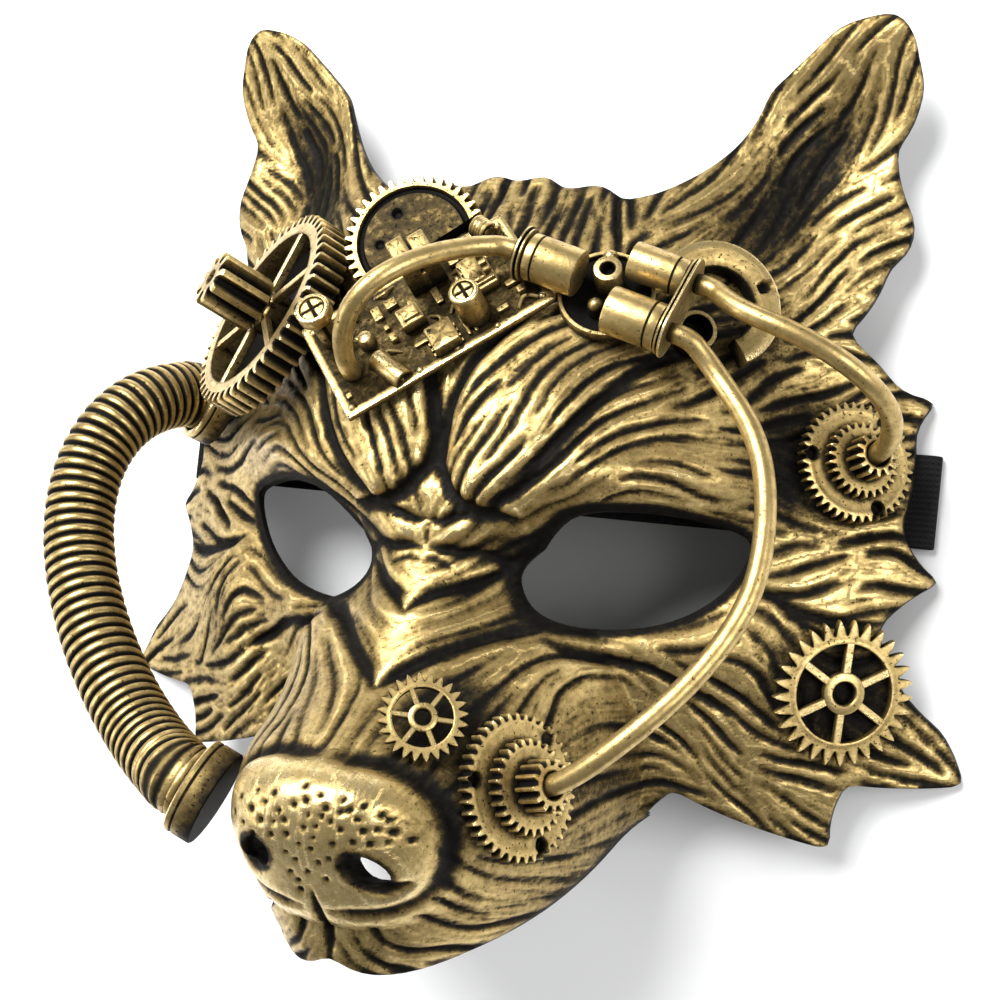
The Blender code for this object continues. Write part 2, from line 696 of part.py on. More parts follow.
Block = namedtuple("Block", "name across along wide long high")
BOARD_BLOCKS = (
    Block("chip_block", 0.014, -0.331, 0.0060, 0.0062, 0.0030),
    Block("module_block", 0.080, 0.300, 0.0082, 0.0062, 0.0125),
    Block("relay_box", -0.060, -0.010, 0.0052, 0.0048, 0.0036),
    Block("connector_block", 0.270, 0.020, 0.0066, 0.0084, 0.0040),
)
Can = namedtuple("Can", "name across along radius high stem")
BOARD_CANS = (
    Can("capacitor_tall", -0.396, 0.233, 0.0037, 0.0124, 0.60),
    Can("capacitor_short", 0.178, -0.274, 0.0032, 0.0094, 1.00),
    Can("capsule", -0.270, 0.015, 0.0018, 0.0034, 1.00),
)
HEAD_HEIGHT = 0.0030  # cap of the tall capacitor


def circuit_board():
    """Board across the forehead with its components; returns the frame of its upper face."""
    foot = seated(stand_frame(BOARD_STAND), BOARD_LENGTH / 2, BOARD_WIDTH / 2)
    box("circuit_board", (BOARD_LENGTH, BOARD_WIDTH, BOARD_THICKNESS), gold, foot, 0.0003)
    top = lifted(foot, BOARD_THICKNESS + GAP)
    for row in BOARD_BLOCKS:
        spot = lifted(top, 0, row.across * BOARD_LENGTH, row.along * BOARD_WIDTH)
        box(row.name, (row.wide, row.long, row.high), gold, spot)
    for row in BOARD_CANS:
        spot = lifted(top, 0, row.across * BOARD_LENGTH, row.along * BOARD_WIDTH)
        stem = row.radius * row.stem
        profile = [(0, row.high), (row.radius * 0.8, row.high), (row.radius, row.high * 0.96)]
        if row.stem < 1:
            profile += [(row.radius, row.high - HEAD_HEIGHT), (stem, row.high - HEAD_HEIGHT)]
        profile += [(stem, 0), (0, 0)]
        turned(row.name, profile, 12, gold, spot)
    half_pipe(top)
    wire_coil(top)
    return top


def half_pipe(top):
    outer, inner = 0.0024, 0.0014
    turns = np.linspace(0, pi, 7)
    loop = [(outer * cos(a), outer * sin(a)) for a in turns]
    loop += [(inner * cos(a), inner * sin(a)) for a in turns[::-1]]
    spot = lifted(top, 0, -0.272 * BOARD_LENGTH, -0.150 * BOARD_WIDTH)
    lying = Matrix.Rotation(radians(19), 4, "Z") @ Matrix.Rotation(radians(90), 4, "X")
    outline_curve("half_pipe", [loop], 0.0088, gold, spot @ lying)


def wire_coil(top):
    outer = 0.0025
    spot = lifted(top, outer, 0.375 * BOARD_LENGTH, 0.44 * BOARD_WIDTH)
    lying = Matrix.Rotation(radians(20), 4, "Z") @ Matrix.Rotation(radians(90), 4, "X")
    loops = [circle_loop(outer, 10), circle_loop(0.0015, 10)]
    outline_curve("wire_coil", loops, 0.0048, gold, spot @ lying)


# Valve on the forehead

VALVE_BASE_RADIUS = 0.0100
VALVE_BASE_ACROSS = 0.0006
UPPER_BARREL_DIAMETER = 0.0080
UPPER_BARREL_ALONG = 0.0062
LOWER_BARREL_ALONG = -0.0060
OUTLET_END = 0.0158
UPPER_OUTLET_START = 0.0038
LOWER_OUTLET_START = 0.0042
INLET_ALONG = -0.0010
INLET_END = -0.0046
POST_RADIUS = 0.0030
RING_OUTER = 0.0135
RING_INNER = 0.0080
RING_ARC = (-58, 142)  # degrees, open where the valve stands
RING_HEIGHT = 0.0048
COLLAR_RADIUS = 0.0042


def lying(frame, start, along, height):
    """Frame on the valve whose Z runs along the barrels, from start."""
    spot = lifted(frame, height, start, along)
    return spot @ Matrix.Rotation(radians(90), 4, "Y")


def barrel(name, frame, start, length, along, diameter):
    radius = diameter / 2
    lip = 0.0005
    profile = [(0, length), (radius - lip, length), (radius, length - lip), (radius, lip),
               (radius - lip, 0), (0, 0)]
    turned(name, profile, 14, gold, lying(frame, start, along, VALVE_AXIS_HEIGHT))


def valve():
    """Base dish, inlet, two outlets, their shared flange, a hollow post and two domed bolts."""
    foot = seated(stand_frame(VALVE_STAND), VALVE_BASE_RADIUS)
    high = VALVE_AXIS_HEIGHT - BARREL_DIAMETER / 2 - GAP
    rim, floor = VALVE_BASE_RADIUS - 0.0010, high * 0.6
    dish = [(0, floor), (rim, floor), (rim, high), (VALVE_BASE_RADIUS, high),
            (VALVE_BASE_RADIUS, 0), (0, 0)]
    turned("valve_base", dish, 20, gold, lifted(foot, 0, VALVE_BASE_ACROSS))
    barrel("valve_inlet", foot, INLET_END - BARREL_LENGTH, BARREL_LENGTH,
           INLET_ALONG, BARREL_DIAMETER)
    disc = [(0, FLANGE_THICKNESS), (0.0058, FLANGE_THICKNESS), (0.0058, 0), (0, 0)]
    inlet_flange = INLET_END - BARREL_LENGTH - FLANGE_THICKNESS - GAP
    turned("valve_inlet_flange", disc, 14, gold,
           lying(foot, inlet_flange, INLET_ALONG, VALVE_AXIS_HEIGHT))
    barrel("valve_outlet_upper", foot, UPPER_OUTLET_START, OUTLET_END - UPPER_OUTLET_START,
           UPPER_BARREL_ALONG, UPPER_BARREL_DIAMETER)
    barrel("valve_outlet_lower", foot, LOWER_OUTLET_START, OUTLET_END - LOWER_OUTLET_START,
           LOWER_BARREL_ALONG, BARREL_DIAMETER)
    plate = lying(foot, OUTLET_END + GAP, 0, VALVE_AXIS_HEIGHT)
    outline_curve("valve_flange", [flange_loop()], FLANGE_THICKNESS, gold, plate)
    top = 0.0088
    inner = POST_RADIUS * 0.5
    post = [(inner, top), (POST_RADIUS, top), (POST_RADIUS, floor + GAP), (inner, floor + GAP)]
    turned("valve_post", post, 12, gold, lifted(foot, 0, 0.0003, 0.0020))
    for name, x, y in (("valve_dome_front", 0.0004, -0.0046), ("valve_dome_back", -0.0016, 0.0069)):
        dome(name, lifted(foot, floor + GAP, x, y), 0.0016, 0.0042)
    return foot


def flange_loop():
    """Plate round both outlets: two half circles joined by straight sides."""
    loop = []
    ends = ((UPPER_BARREL_ALONG, UPPER_BARREL_DIAMETER / 2 + 0.0009, 0),
            (LOWER_BARREL_ALONG, BARREL_DIAMETER / 2 + 0.0006, pi))
    for along, radius, start in ends:
        for a in np.linspace(start, start + pi, 8):
            loop.append((radius * cos(a), along + radius * sin(a)))
    return loop


def dome(name, frame, radius, high):
    turns = np.linspace(pi / 2, 0, 4)
    shoulder = high - radius
    profile = [(radius * cos(a), shoulder + radius * sin(a)) for a in turns]
    profile[0] = (0, high)
    turned(name, profile + [(radius, 0), (0, 0)], 10, gold, frame)


def ring_pieces():
    """Open ring beside the valve and a collar standing in its opening."""
    cup = seated(stand_frame(RING_CUP_STAND), RING_OUTER)
    turns = np.radians(np.linspace(*RING_ARC, 15))
    loop = [(RING_OUTER * cos(a), RING_OUTER * sin(a)) for a in turns]
    loop += [(RING_INNER * cos(a), RING_INNER * sin(a)) for a in turns[::-1]]
    outline_curve("ring_cup", [loop], RING_HEIGHT, gold, cup)
    collar = seated(stand_frame(RING_COLLAR_STAND), COLLAR_RADIUS)
    bore = 0.75 * COLLAR_RADIUS
    turned("ring_collar", [(bore, RING_HEIGHT), (COLLAR_RADIUS, RING_HEIGHT),
                           (COLLAR_RADIUS, 0), (bore, 0)], 14, gold, collar)


# Tubes and hose. Their routes are places chosen along the real ones: across is a share of
# HALF_WIDTH, along follows the sections of the face and high is a share of DEPTH.

TUBE_BOARD_ROUTE = (
    (0.0213, 0.4983, 0.6200), (-0.0184, 0.4772, 0.6905), (-0.0659, 0.4434, 0.7442),
    (-0.1017, 0.4155, 0.7779), (-0.1366, 0.3792, 0.7768), (-0.1638, 0.3421, 0.7516),
    (-0.1822, 0.3074, 0.7074),
)
TUBE_TEMPLE_ROUTE = (
    (0.5465, 0.4282, 0.5263), (0.6550, 0.4020, 0.5263), (0.7413, 0.3674, 0.5053),
    (0.8033, 0.3353, 0.4705), (0.8401, 0.2981, 0.4011), (0.8527, 0.2618, 0.3158),
)
TUBE_CHEEK_ROUTE = (
    (0.5145, 0.3294, 0.4958), (0.5843, 0.2720, 0.5274), (0.6395, 0.2086, 0.5568),
    (0.6686, 0.1410, 0.5832), (0.6822, 0.0507, 0.6105), (0.6812, -0.0357, 0.6368),
    (0.6628, -0.1131, 0.6632), (0.6386, -0.1774, 0.6874), (0.5959, -0.2607, 0.7168),
    (0.5514, -0.3321, 0.7474), (0.5058, -0.3905, 0.7705),
)
HOSE_ROUTE = (
    (-0.4981, -0.5810, 0.7368), (-0.5785, -0.5167, 0.7053), (-0.6541, -0.4357, 0.6737),
    (-0.7258, -0.3452, 0.6421), (-0.7781, -0.2571, 0.6158), (-0.8178, -0.1845, 0.5947),
    (-0.8527, -0.0917, 0.5684), (-0.8731, -0.0119, 0.5474), (-0.8828, 0.0667, 0.5158),
    (-0.8760, 0.1326, 0.4737), (-0.8450, 0.1985, 0.4105),
)
HOSE_FOOT_STAND = Stand(-0.255, -0.700, 155, 74, 0)
HOSE_HEAD_STAND = Stand(-0.745, 0.215, 155, 42, 0)
HOSE_CUP_LENGTH = 0.0060
HOSE_CUP_WALL = 0.0016


def route_places(route):
    """Places of a route in metres."""
    return [Vector((*place(across, along), high * DEPTH)) for across, along, high in route]


def hose_cup(name, stand):
    """Short socket on the face that an end of the hose stands in; returns its frame."""
    bore = HOSE_DIAMETER / 2 + 2 * GAP
    outer = bore + HOSE_CUP_WALL
    foot = seated(stand_frame(stand), outer)
    floor = HOSE_CUP_LENGTH * 0.4
    profile = [(0, floor), (bore, floor), (bore, HOSE_CUP_LENGTH), (outer, HOSE_CUP_LENGTH),
               (outer, 0), (0, 0)]
    turned(name, profile, 16, gold, foot)
    return lifted(foot, floor + GAP)


def breathing_hose():
    """Ribbed hose from the muzzle's flank up to the temple, its ends held in two sockets."""
    start = hose_cup("hose_cup_lower", HOSE_FOOT_STAND)
    end = hose_cup("hose_cup_upper", HOSE_HEAD_STAND)
    straight = (0, 0.6 * HOSE_CUP_LENGTH, 1.2 * HOSE_CUP_LENGTH)
    route = [lifted(start, s).translation for s in straight]
    route += route_places(HOSE_ROUTE)
    route += [lifted(end, s).translation for s in reversed(straight)]
    places = smooth_route(route, HOSE_RIB_PITCH / 2)
    low = 1 - HOSE_RIB_DEPTH / (HOSE_DIAMETER / 2)
    radii = [1 if i % 2 else low for i in range(len(places))]
    tube("breathing_hose", places, HOSE_DIAMETER, gold, 2, radii)


def tubes(board_top, valve_foot, temple, muzzle):
    """Three stiff tubes: valve to board, valve to temple gears, valve to muzzle gears."""
    spacing = 1.3 * TUBE_DIAMETER
    straight = 1.5 * TUBE_DIAMETER
    inlet_face = INLET_END - BARREL_LENGTH - FLANGE_THICKNESS - 2 * GAP
    outlet_face = OUTLET_END + FLANGE_THICKNESS + 2 * GAP
    height = VALVE_AXIS_HEIGHT
    inlet = [lifted(valve_foot, height, inlet_face - s, INLET_ALONG).translation
             for s in (0, straight)]
    foot = lifted(board_top, 0, -0.388 * BOARD_LENGTH, -0.160 * BOARD_WIDTH)
    landing = [lifted(foot, straight).translation, foot.translation]
    tube("tube_board", smooth_route(inlet + route_places(TUBE_BOARD_ROUTE) + landing, spacing),
         TUBE_DIAMETER, gold)
    ends = (("tube_temple", UPPER_BARREL_ALONG, TUBE_TEMPLE_ROUTE, temple),
            ("tube_cheek", LOWER_BARREL_ALONG, TUBE_CHEEK_ROUTE, muzzle))
    for name, along, route, pinion in ends:
        leave = [lifted(valve_foot, height, outlet_face + s, along).translation
                 for s in (0, straight)]
        enter = [lifted(pinion, s * STACK_PINION_LENGTH).translation for s in (1.5, 0.75, 0)]
        tube(name, smooth_route(leave + route_places(route) + enter, spacing), TUBE_DIAMETER, gold)


clear_scene()
parts = collection("wolf_mask")
gold = material("antique gold", (0.45, 0.32, 0.13), 0.38, 0.9)
elastic = material("black elastic", (0.01, 0.01, 0.01), 0.85, 0.0)

origin = bpy.data.objects.new("mask_origin", None)
parts.objects.link(origin)

shell = face_shell()
bpy.context.view_layer.update()
shell_graph = bpy.context.evaluated_depsgraph_get()
shell_mesh = shell.evaluated_get(shell_graph).data
face_points = np.array([v.co for v in shell_mesh.vertices])
face_tree = BVHTree.FromPolygons([v.co.copy() for v in shell_mesh.vertices],
                                 [tuple(p.vertices) for p in shell_mesh.polygons])

head_strap()
crown_gear()
disc_gear()
board_top = circuit_board()
valve_foot = valve()
ring_pieces()
temple_seat = gear_stack(TEMPLE_STACK, TEMPLE_STAND)
muzzle_seat = gear_stack(MUZZLE_STACK, MUZZLE_STAND)
cheek_gear()
bridge_gear()
tubes(board_top, valve_foot, lifted(temple_seat, GAP), lifted(muzzle_seat, GAP))
breathing_hose()

highest, lowest = face_points[:, 1].max(), face_points[:, 1].min()
origin.location.y = -(highest + lowest) / 2
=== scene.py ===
from math import cos, pi, radians, sin

import bmesh
import bpy
import numpy as np
from mathutils import Matrix, Vector


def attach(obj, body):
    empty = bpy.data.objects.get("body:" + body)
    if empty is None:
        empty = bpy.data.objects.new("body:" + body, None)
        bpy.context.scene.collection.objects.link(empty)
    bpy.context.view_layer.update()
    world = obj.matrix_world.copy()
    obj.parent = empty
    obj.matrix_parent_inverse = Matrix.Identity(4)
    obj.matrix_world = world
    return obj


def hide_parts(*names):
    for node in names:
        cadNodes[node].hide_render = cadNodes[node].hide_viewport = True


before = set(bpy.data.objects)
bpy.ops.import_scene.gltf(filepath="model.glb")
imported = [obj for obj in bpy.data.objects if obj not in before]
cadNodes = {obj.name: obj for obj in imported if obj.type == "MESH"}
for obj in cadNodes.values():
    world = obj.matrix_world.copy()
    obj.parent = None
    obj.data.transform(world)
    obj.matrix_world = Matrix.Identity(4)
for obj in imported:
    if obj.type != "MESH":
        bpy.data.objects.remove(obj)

# Everything below is worked out in millimetres in the face's own frame: X across, Y from the lip
# to the ears, Z up from the table. rowShift brings it to the row frame.
rowShift = np.array((0.0, -17.2, 0.0))
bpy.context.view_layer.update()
rng = np.random.default_rng(41)


# Mesh making

def gridQuads(rows, columns, wrap=True):
    # quads between neighbouring rows and columns of a grid; wrap joins the last column to the first
    r, c = np.meshgrid(np.arange(rows - 1), np.arange(columns if wrap else columns - 1), indexing="ij")
    a, b = r * columns + c, r * columns + (c + 1) % columns
    return np.stack((a, b, b + columns, a + columns), axis=-1).reshape(-1, 4)


def fullTurn(count):
    # angles evenly round the axis
    return np.linspace(0, 2 * pi, count, endpoint=False)


def loft(rings, wear, poles=True):
    # closed skin over rings (rows x columns x 3); a pole is the mean of an end ring
    rows, columns = rings.shape[:2]
    points = rings.reshape(-1, 3)
    wear = np.broadcast_to(np.asarray(wear, float), (rows, columns)).reshape(-1)
    quads = gridQuads(rows, columns)
    triangles = []
    around = np.arange(columns)
    for row, turn in ((0, 1), (rows - 1, -1)) if poles else ():
        centre = len(points)
        points = np.vstack((points, rings[row].mean(axis=0)))
        wear = np.append(wear, wear[row * columns:(row + 1) * columns].mean())
        edge = row * columns + around
        triangles.append(np.stack((edge, np.full(columns, centre), np.roll(edge, -1)), 1)[:, ::turn])
    return points, [quads] + triangles, wear


def closedRows(rings, wear):
    # grid closed both ways
    rows, columns = rings.shape[:2]
    quads = gridQuads(rows + 1, columns)
    quads = np.where(quads >= rows * columns, quads - rows * columns, quads)
    wear = np.broadcast_to(np.asarray(wear, float), (rows, columns)).reshape(-1)
    return rings.reshape(-1, 3), [quads], wear


def joined(parts):
    # several (points, faces, wear and painted shade) as one
    points, faces, wear, start = [], [], [], 0
    for p, f, w in parts:
        points.append(p)
        faces += [array + start for array in f]
        wear.append(w)
        start += len(p)
    return np.vstack(points), faces, np.concatenate(wear)


def placed(part, frameOf):
    # part moved from its own frame: origin + R p
    points, faces, wear = part
    rotation, origin = frameOf
    return points @ rotation.T + origin, faces, wear


def seated(parts, frameOf):
    # several parts placed in one frame and joined
    return joined([placed(part, frameOf) for part in parts])


def nodeOf(name):
    # the solid that a piece stands for, crown_gear for crownGear
    return "".join("_" + letter.lower() if letter.isupper() else letter for letter in name)


def addPiece(name, part, finish, stands=None, closed=True, extra=None, sharp=38):
    # object of the part in metres; its faces are turned outwards where the skin is closed, and
    # edges sharper than sharp degrees stay sharp
    points, faces, wear = part
    stands = (nodeOf(name),) if stands is None else stands
    mesh = bpy.data.meshes.new(name)
    mesh.vertices.add(len(points))
    mesh.vertices.foreach_set("co", ((points + rowShift) * 0.001).astype(np.float32).ravel())
    corners = np.concatenate([f.ravel() for f in faces]).astype(np.int32)
    counts = np.concatenate([np.full(len(f), f.shape[1]) for f in faces])
    starts = np.concatenate(((0,), np.cumsum(counts)[:-1])).astype(np.int32)
    mesh.loops.add(len(corners))
    mesh.loops.foreach_set("vertex_index", corners)
    mesh.polygons.add(len(counts))
    mesh.polygons.foreach_set("loop_start", starts)
    mesh.update(calc_edges=True)
    mesh.attributes.new("wear", "FLOAT", "POINT").data.foreach_set("value", wear.astype(np.float32))
    for key, values in (extra or {}).items():
        mesh.attributes.new(key, "FLOAT_VECTOR", "POINT").data.foreach_set(
            "vector", values.astype(np.float32).ravel())
    if closed:
        form = bmesh.new()
        form.from_mesh(mesh)
        bmesh.ops.recalc_face_normals(form, faces=form.faces)
        form.to_mesh(mesh)
        form.free()
    mesh.shade_smooth()
    if sharp:
        mesh.set_sharp_from_angle(angle=radians(sharp))
    mesh.materials.append(finish)
    made = bpy.data.objects.new(name, mesh)
    bpy.context.scene.collection.objects.link(made)
    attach(made, "root")
    if stands:
        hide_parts(*stands)


# Shader maths

class Channel:
    # one socket; operators on it add Math nodes
    def __init__(self, board, socket):
        self.board, self.socket = board, socket

    def maths(self, operation, *others, flip=False):
        values = (self, *others)
        return self.board.node("ShaderNodeMath", {"operation": operation},
                               dict(enumerate(values[::-1] if flip else values)))

    def __add__(self, other):
        return self.maths("ADD", other)

    def __sub__(self, other):
        return self.maths("SUBTRACT", other)

    def __rsub__(self, other):
        return self.maths("SUBTRACT", other, flip=True)

    def __mul__(self, other):
        return self.maths("MULTIPLY", other)

    __radd__ = __add__
    __rmul__ = __mul__

    def within(self, low, high):
        # 0 below low, 1 above high, straight between
        return self.board.node("ShaderNodeMapRange", {"clamp": True},
                               {"Value": self, "From Min": low, "From Max": high})


class Finish:
    # a material and its node tree
    def __init__(self, name, **constants):
        self.material = bpy.data.materials.new(name)
        self.material.use_nodes = True
        self.tree = self.material.node_tree
        self.shader = self.tree.nodes["Principled BSDF"]
        for key, value in constants.items():
            self.shader.inputs[key.replace("_", " ")].default_value = value

    def node(self, kind, settings=None, sockets=None, output=0):
        made = self.tree.nodes.new(kind)
        for key, value in (settings or {}).items():
            if key == "stops":
                ramp = made.color_ramp
                while len(ramp.elements) < len(value):
                    ramp.elements.new(0.5)
                for element, (place, colour) in zip(ramp.elements, value):
                    element.position, element.color = place, (*colour, 1)
            else:
                setattr(made, key, value)
        for key, value in (sockets or {}).items():
            self.feed(made.inputs[key], value)
        return Channel(self, made.outputs[output])

    def feed(self, socket, value):
        if isinstance(value, Channel):
            self.tree.links.new(value.socket, socket)
        else:
            socket.default_value = value

    def attribute(self, name, output="Fac"):
        return self.node("ShaderNodeAttribute", {"attribute_name": name}, output=output)

    def spot(self):
        return self.node("ShaderNodeTexCoord", output="Object")

    def stretched(self, vector, scale):
        return self.node("ShaderNodeVectorMath", {"operation": "MULTIPLY"}, {0: vector, 1: scale})

    def noise(self, vector, scale, detail, rough=0.55):
        return self.node("ShaderNodeTexNoise", {}, {"Vector": vector, "Scale": scale, "Detail": detail,
                                                    "Roughness": rough})

    def ramp(self, value, stops):
        return self.node("ShaderNodeValToRGB", {"stops": stops}, {"Fac": value})

    def bump(self, height, distance, strength):
        return self.node("ShaderNodeBump", {}, {"Height": height, "Distance": distance,
                                                "Strength": strength})

    def surface(self, **channels):
        for key, value in channels.items():
            self.feed(self.shader.inputs[key.replace("_", " ")], value)
        return self.material


# The finish of the real mask: black plastic, brushed and rubbed with antique gold. wear is 0 in a groove,
# about
# 0.6 on a plain face and 1 on a rubbed edge; painted shade lowers it near and round the pieces on the
# face.
patina = {
    "stops": ((0.0, (0.004, 0.0035, 0.003)), (0.20, (0.012, 0.010, 0.006)), (0.36, (0.060, 0.042, 0.016)),
              (0.52, (0.27, 0.192, 0.072)), (0.72, (0.54, 0.395, 0.160)), (1.0, (0.88, 0.72, 0.39))),
    "metal": 0.88, "roughest": 0.58, "shiniest": 0.26,
    "mottling": 0.50, "patches": 0.20, "streaks": 0.30,   # each one's share of the tone
    "relief": 0.00022,                                    # depth of the bump in metres
}


def goldFinish(name, coarse, fine, speckle, base, streak=None):
    # tone = wear and painted shade + base + mottling + streaks - specks, read through the patina ramp
    make = Finish(name, Specular_IOR_Level=0.06)
    spot = make.spot()
    broad = make.noise(spot, 90.0, 2.0)
    mottle = make.noise(spot, coarse, 5.0, 0.62)
    grain = make.noise(spot, fine, 3.0, 0.6)
    tone = make.attribute("wear") + base + (mottle - 0.5) * patina["mottling"]
    tone = tone + (broad - 0.5) * patina["patches"]
    height = grain * 0.30 + mottle * 0.6
    if streak:
        strand = make.attribute("strand", "Vector")
        hair = make.noise(make.stretched(strand, streak), 1.0, 3.0, 0.6)
        tone = tone + (hair - 0.5) * patina["streaks"]
        height = height + hair * 0.6
    specks = make.noise(spot, fine * 0.55, 2.0, 0.5).within(0.63, 0.70) * speckle
    tone = tone - specks
    shine = tone.within(0.30, 0.85)
    return make.surface(
        Base_Color=make.ramp(tone, patina["stops"]),
        Metallic=tone.within(0.22, 0.48) * patina["metal"],
        Roughness=patina["roughest"] - shine * (patina["roughest"] - patina["shiniest"])
        + (grain - 0.5) * 0.16,
        Normal=make.bump(height - specks * 0.8, patina["relief"], 0.55))


furGold = goldFinish("fur antique gold", 700.0, 2600.0, 0.20, 0.03, (1.15, 0.085, 2.1))
gearGold = goldFinish("gear antique gold", 620.0, 2900.0, 0.35, -0.07)
tubeGold = goldFinish("tube antique gold", 420.0, 2300.0, 0.22, -0.03)


# The face as a height over the table

face = {
    "halfWidth": 103.2, "earReach": 118.4, "jawReach": 84.0, "depth": 95.0, "wall": 2.4,
    "step": 0.56,          # spacing of the skin's grid
    "domePower": 0.85, "blend": 8.0,      # roundness of the muzzle, and where it runs into the face
    "noseHalfWidth": 22.8, "noseHalfLength": 16.5, "noseAlong": -0.69, "noseRise": 6.0,
    "noseFullness": 2.6, "nosePower": 0.45,
    "nostril": (11.6, -0.22, 8.6, 6.4, -20.0),   # across, along, length, width, lean
    # along, height, reach, fullness of each cross section
    "sections": (
        (1.00, 0.245, 1.08, 3.0), (0.80, 0.240, 0.99, 2.6), (0.665, 0.315, 0.95, 2.3),
        (0.55, 0.415, 0.92, 1.9), (0.42, 0.510, 0.90, 1.65), (0.30, 0.565, 0.905, 1.5),
        (0.15, 0.597, 0.915, 1.38), (0.02, 0.590, 0.935, 1.32), (-0.12, 0.545, 0.955, 1.3),
        (-0.30, 0.455, 1.00, 1.35), (-0.50, 0.365, 1.03, 1.5), (-0.68, 0.300, 1.03, 1.6),
        (-1.00, 0.200, 1.03, 1.6)),
    "muzzle": (
        (0.55, 0.200, 0.12, 2.0), (0.25, 0.460, 0.14, 2.0), (0.08, 0.560, 0.18, 2.0),
        (-0.10, 0.635, 0.235, 2.0), (-0.20, 0.680, 0.31, 1.9), (-0.36, 0.765, 0.38, 1.8),
        (-0.46, 0.870, 0.395, 2.0), (-0.54, 0.950, 0.395, 2.5), (-0.66, 0.955, 0.390, 3.0),
        (-0.80, 0.885, 0.370, 3.0), (-0.90, 0.850, 0.345, 2.6), (-0.96, 0.835, 0.335, 2.2),
        (-1.02, 0.810, 0.300, 2.2)),
    # across, along, wide, long, turn, rise of each swelling or hollow
    "swellings": (
        (0.27, 0.19, 0.22, 0.20, 35, 0.085), (0.42, 0.125, 0.24, 0.07, 12, 0.060),
        (0.125, 0.075, 0.075, 0.07, 20, 0.030), (0.0, 0.17, 0.045, 0.16, 0, -0.035),
        (0.37, -0.02, 0.24, 0.13, 12, -0.075), (0.155, -0.09, 0.08, 0.12, 0, -0.050),
        (0.62, -0.24, 0.30, 0.17, 30, 0.050), (0.36, -0.25, 0.22, 0.06, 10, 0.030),
        (0.68, 0.30, 0.13, 0.16, 0, -0.030), (0.88, 0.16, 0.10, 0.12, 0, 0.026),
        (0.60, 0.72, 0.115, 0.20, -22, -0.075), (0.84, 0.86, 0.12, 0.22, -8, 0.030),
        (0.40, 0.58, 0.12, 0.08, 0, 0.012), (0.76, 1.00, 0.20, 0.20, 0, 0.040),
        (0.46, -0.40, 0.09, 0.16, -20, -0.045)),
    # across, along, bow of each corner of the outline, crown to lip
    "outline": (
        (0.000, 0.672, 0.00), (0.055, 0.686, 0.05), (0.105, 0.660, -0.05), (0.175, 0.670, 0.08),
        (0.240, 0.640, -0.05), (0.325, 0.664, -0.10), (0.498, 0.862, 0.01), (0.632, 0.975, 0.05),
        (0.745, 1.000, 0.14), (0.790, 0.930, 0.10), (0.797, 0.850, 0.06), (0.757, 0.778, -0.06),
        (0.800, 0.660, 0.16), (0.765, 0.565, 0.06), (0.700, 0.440, -0.03), (0.765, 0.390, -0.16),
        (0.872, 0.340, -0.05), (0.840, 0.275, 0.05), (0.836, 0.110, -0.10), (0.915, 0.015, -0.06),
        (0.815, -0.107, -0.10), (0.945, -0.345, 0.04), (1.000, -0.475, 0.03), (0.785, -0.500, -0.09),
        (0.760, -0.668, 0.03), (0.455, -0.565, -0.06), (0.370, -0.698, 0.05), (0.285, -0.865, 0.04),
        (0.180, -0.962, 0.06), (0.080, -1.000, 0.08), (0.000, -0.965, 0.00)),
    "eye": ((0.165, -0.075), (0.205, -0.150), (0.300, -0.182), (0.430, -0.150), (0.530, -0.060),
            (0.575, 0.045), (0.500, 0.072), (0.385, 0.078), (0.275, 0.060), (0.200, 0.000)),
}


def alongMm(along):
    # a share of the way to the ears (above 0) or to the lip (below 0) in millimetres
    along = np.asarray(along, float)
    return np.where(along > 0, along * face["earReach"], along * face["jawReach"])


def spotOf(across, along):
    # a place given in shares of the face
    return np.array((across * face["halfWidth"], float(alongMm(along))))


def through(stations, values, at):
    # cubic Hermite curve through the values at the stations
    order = np.argsort(stations)
    station, value = np.asarray(stations, float)[order], np.asarray(values, float)[order]
    slope = np.gradient(value, station)
    at = np.clip(at, station[0], station[-1])
    i = np.clip(np.searchsorted(station, at) - 1, 0, len(station) - 2)
    span = station[i + 1] - station[i]
    t = (at - station[i]) / span
    start = (2 * t**3 - 3 * t**2 + 1) * value[i] + (t**3 - 2 * t**2 + t) * span * slope[i]
    return start + (3 * t**2 - 2 * t**3) * value[i + 1] + (t**3 - t**2) * span * slope[i + 1]


def sectionValues(table, y):
    # height, reach and fullness of the cross section at y
    rows = np.array(table)
    stations = alongMm(rows[:, 0])
    return (through(stations, rows[:, 1] * face["depth"], y),
            through(stations, rows[:, 2] * face["halfWidth"], y), through(stations, rows[:, 3], y))


def ownAxes(dx, dy, turn):
    # an offset in axes turned by turn degrees
    turn = radians(turn)
    return dx * cos(turn) + dy * sin(turn), dy * cos(turn) - dx * sin(turn)


def hill(row, x, y):
    # rise exp(-u^2 - v^2) in axes turned by row's turn, mirrored across the midline
    across, along, wide, high, turn, rise = row
    u, v = ownAxes(np.abs(x) - across * face["halfWidth"], y - alongMm(along), turn)
    return rise * np.exp(-(u / (wide * face["halfWidth"]))**2 - (v / (high * face["earReach"]))**2)


def faceHeight(x, y):
    # crown (1 - |x/reach|^fullness), the muzzle's dome laid over it where it is higher, and the
    # swellings
    crown, reach, fullness = sectionValues(face["sections"], y)
    height = crown * (1 - (np.abs(x) / reach)**fullness)
    ridge, reach, fullness = sectionValues(face["muzzle"], y)
    dome = np.clip(1 - (np.abs(x) / reach)**fullness, 0, None)**face["domePower"]
    over = ridge - height
    share = np.clip(0.5 + over / face["blend"], 0, 1)
    height = height + (over * share + face["blend"] / 2 * share * (1 - share)) * dome
    return height + face["depth"] * sum(hill(row, x, y) for row in face["swellings"])


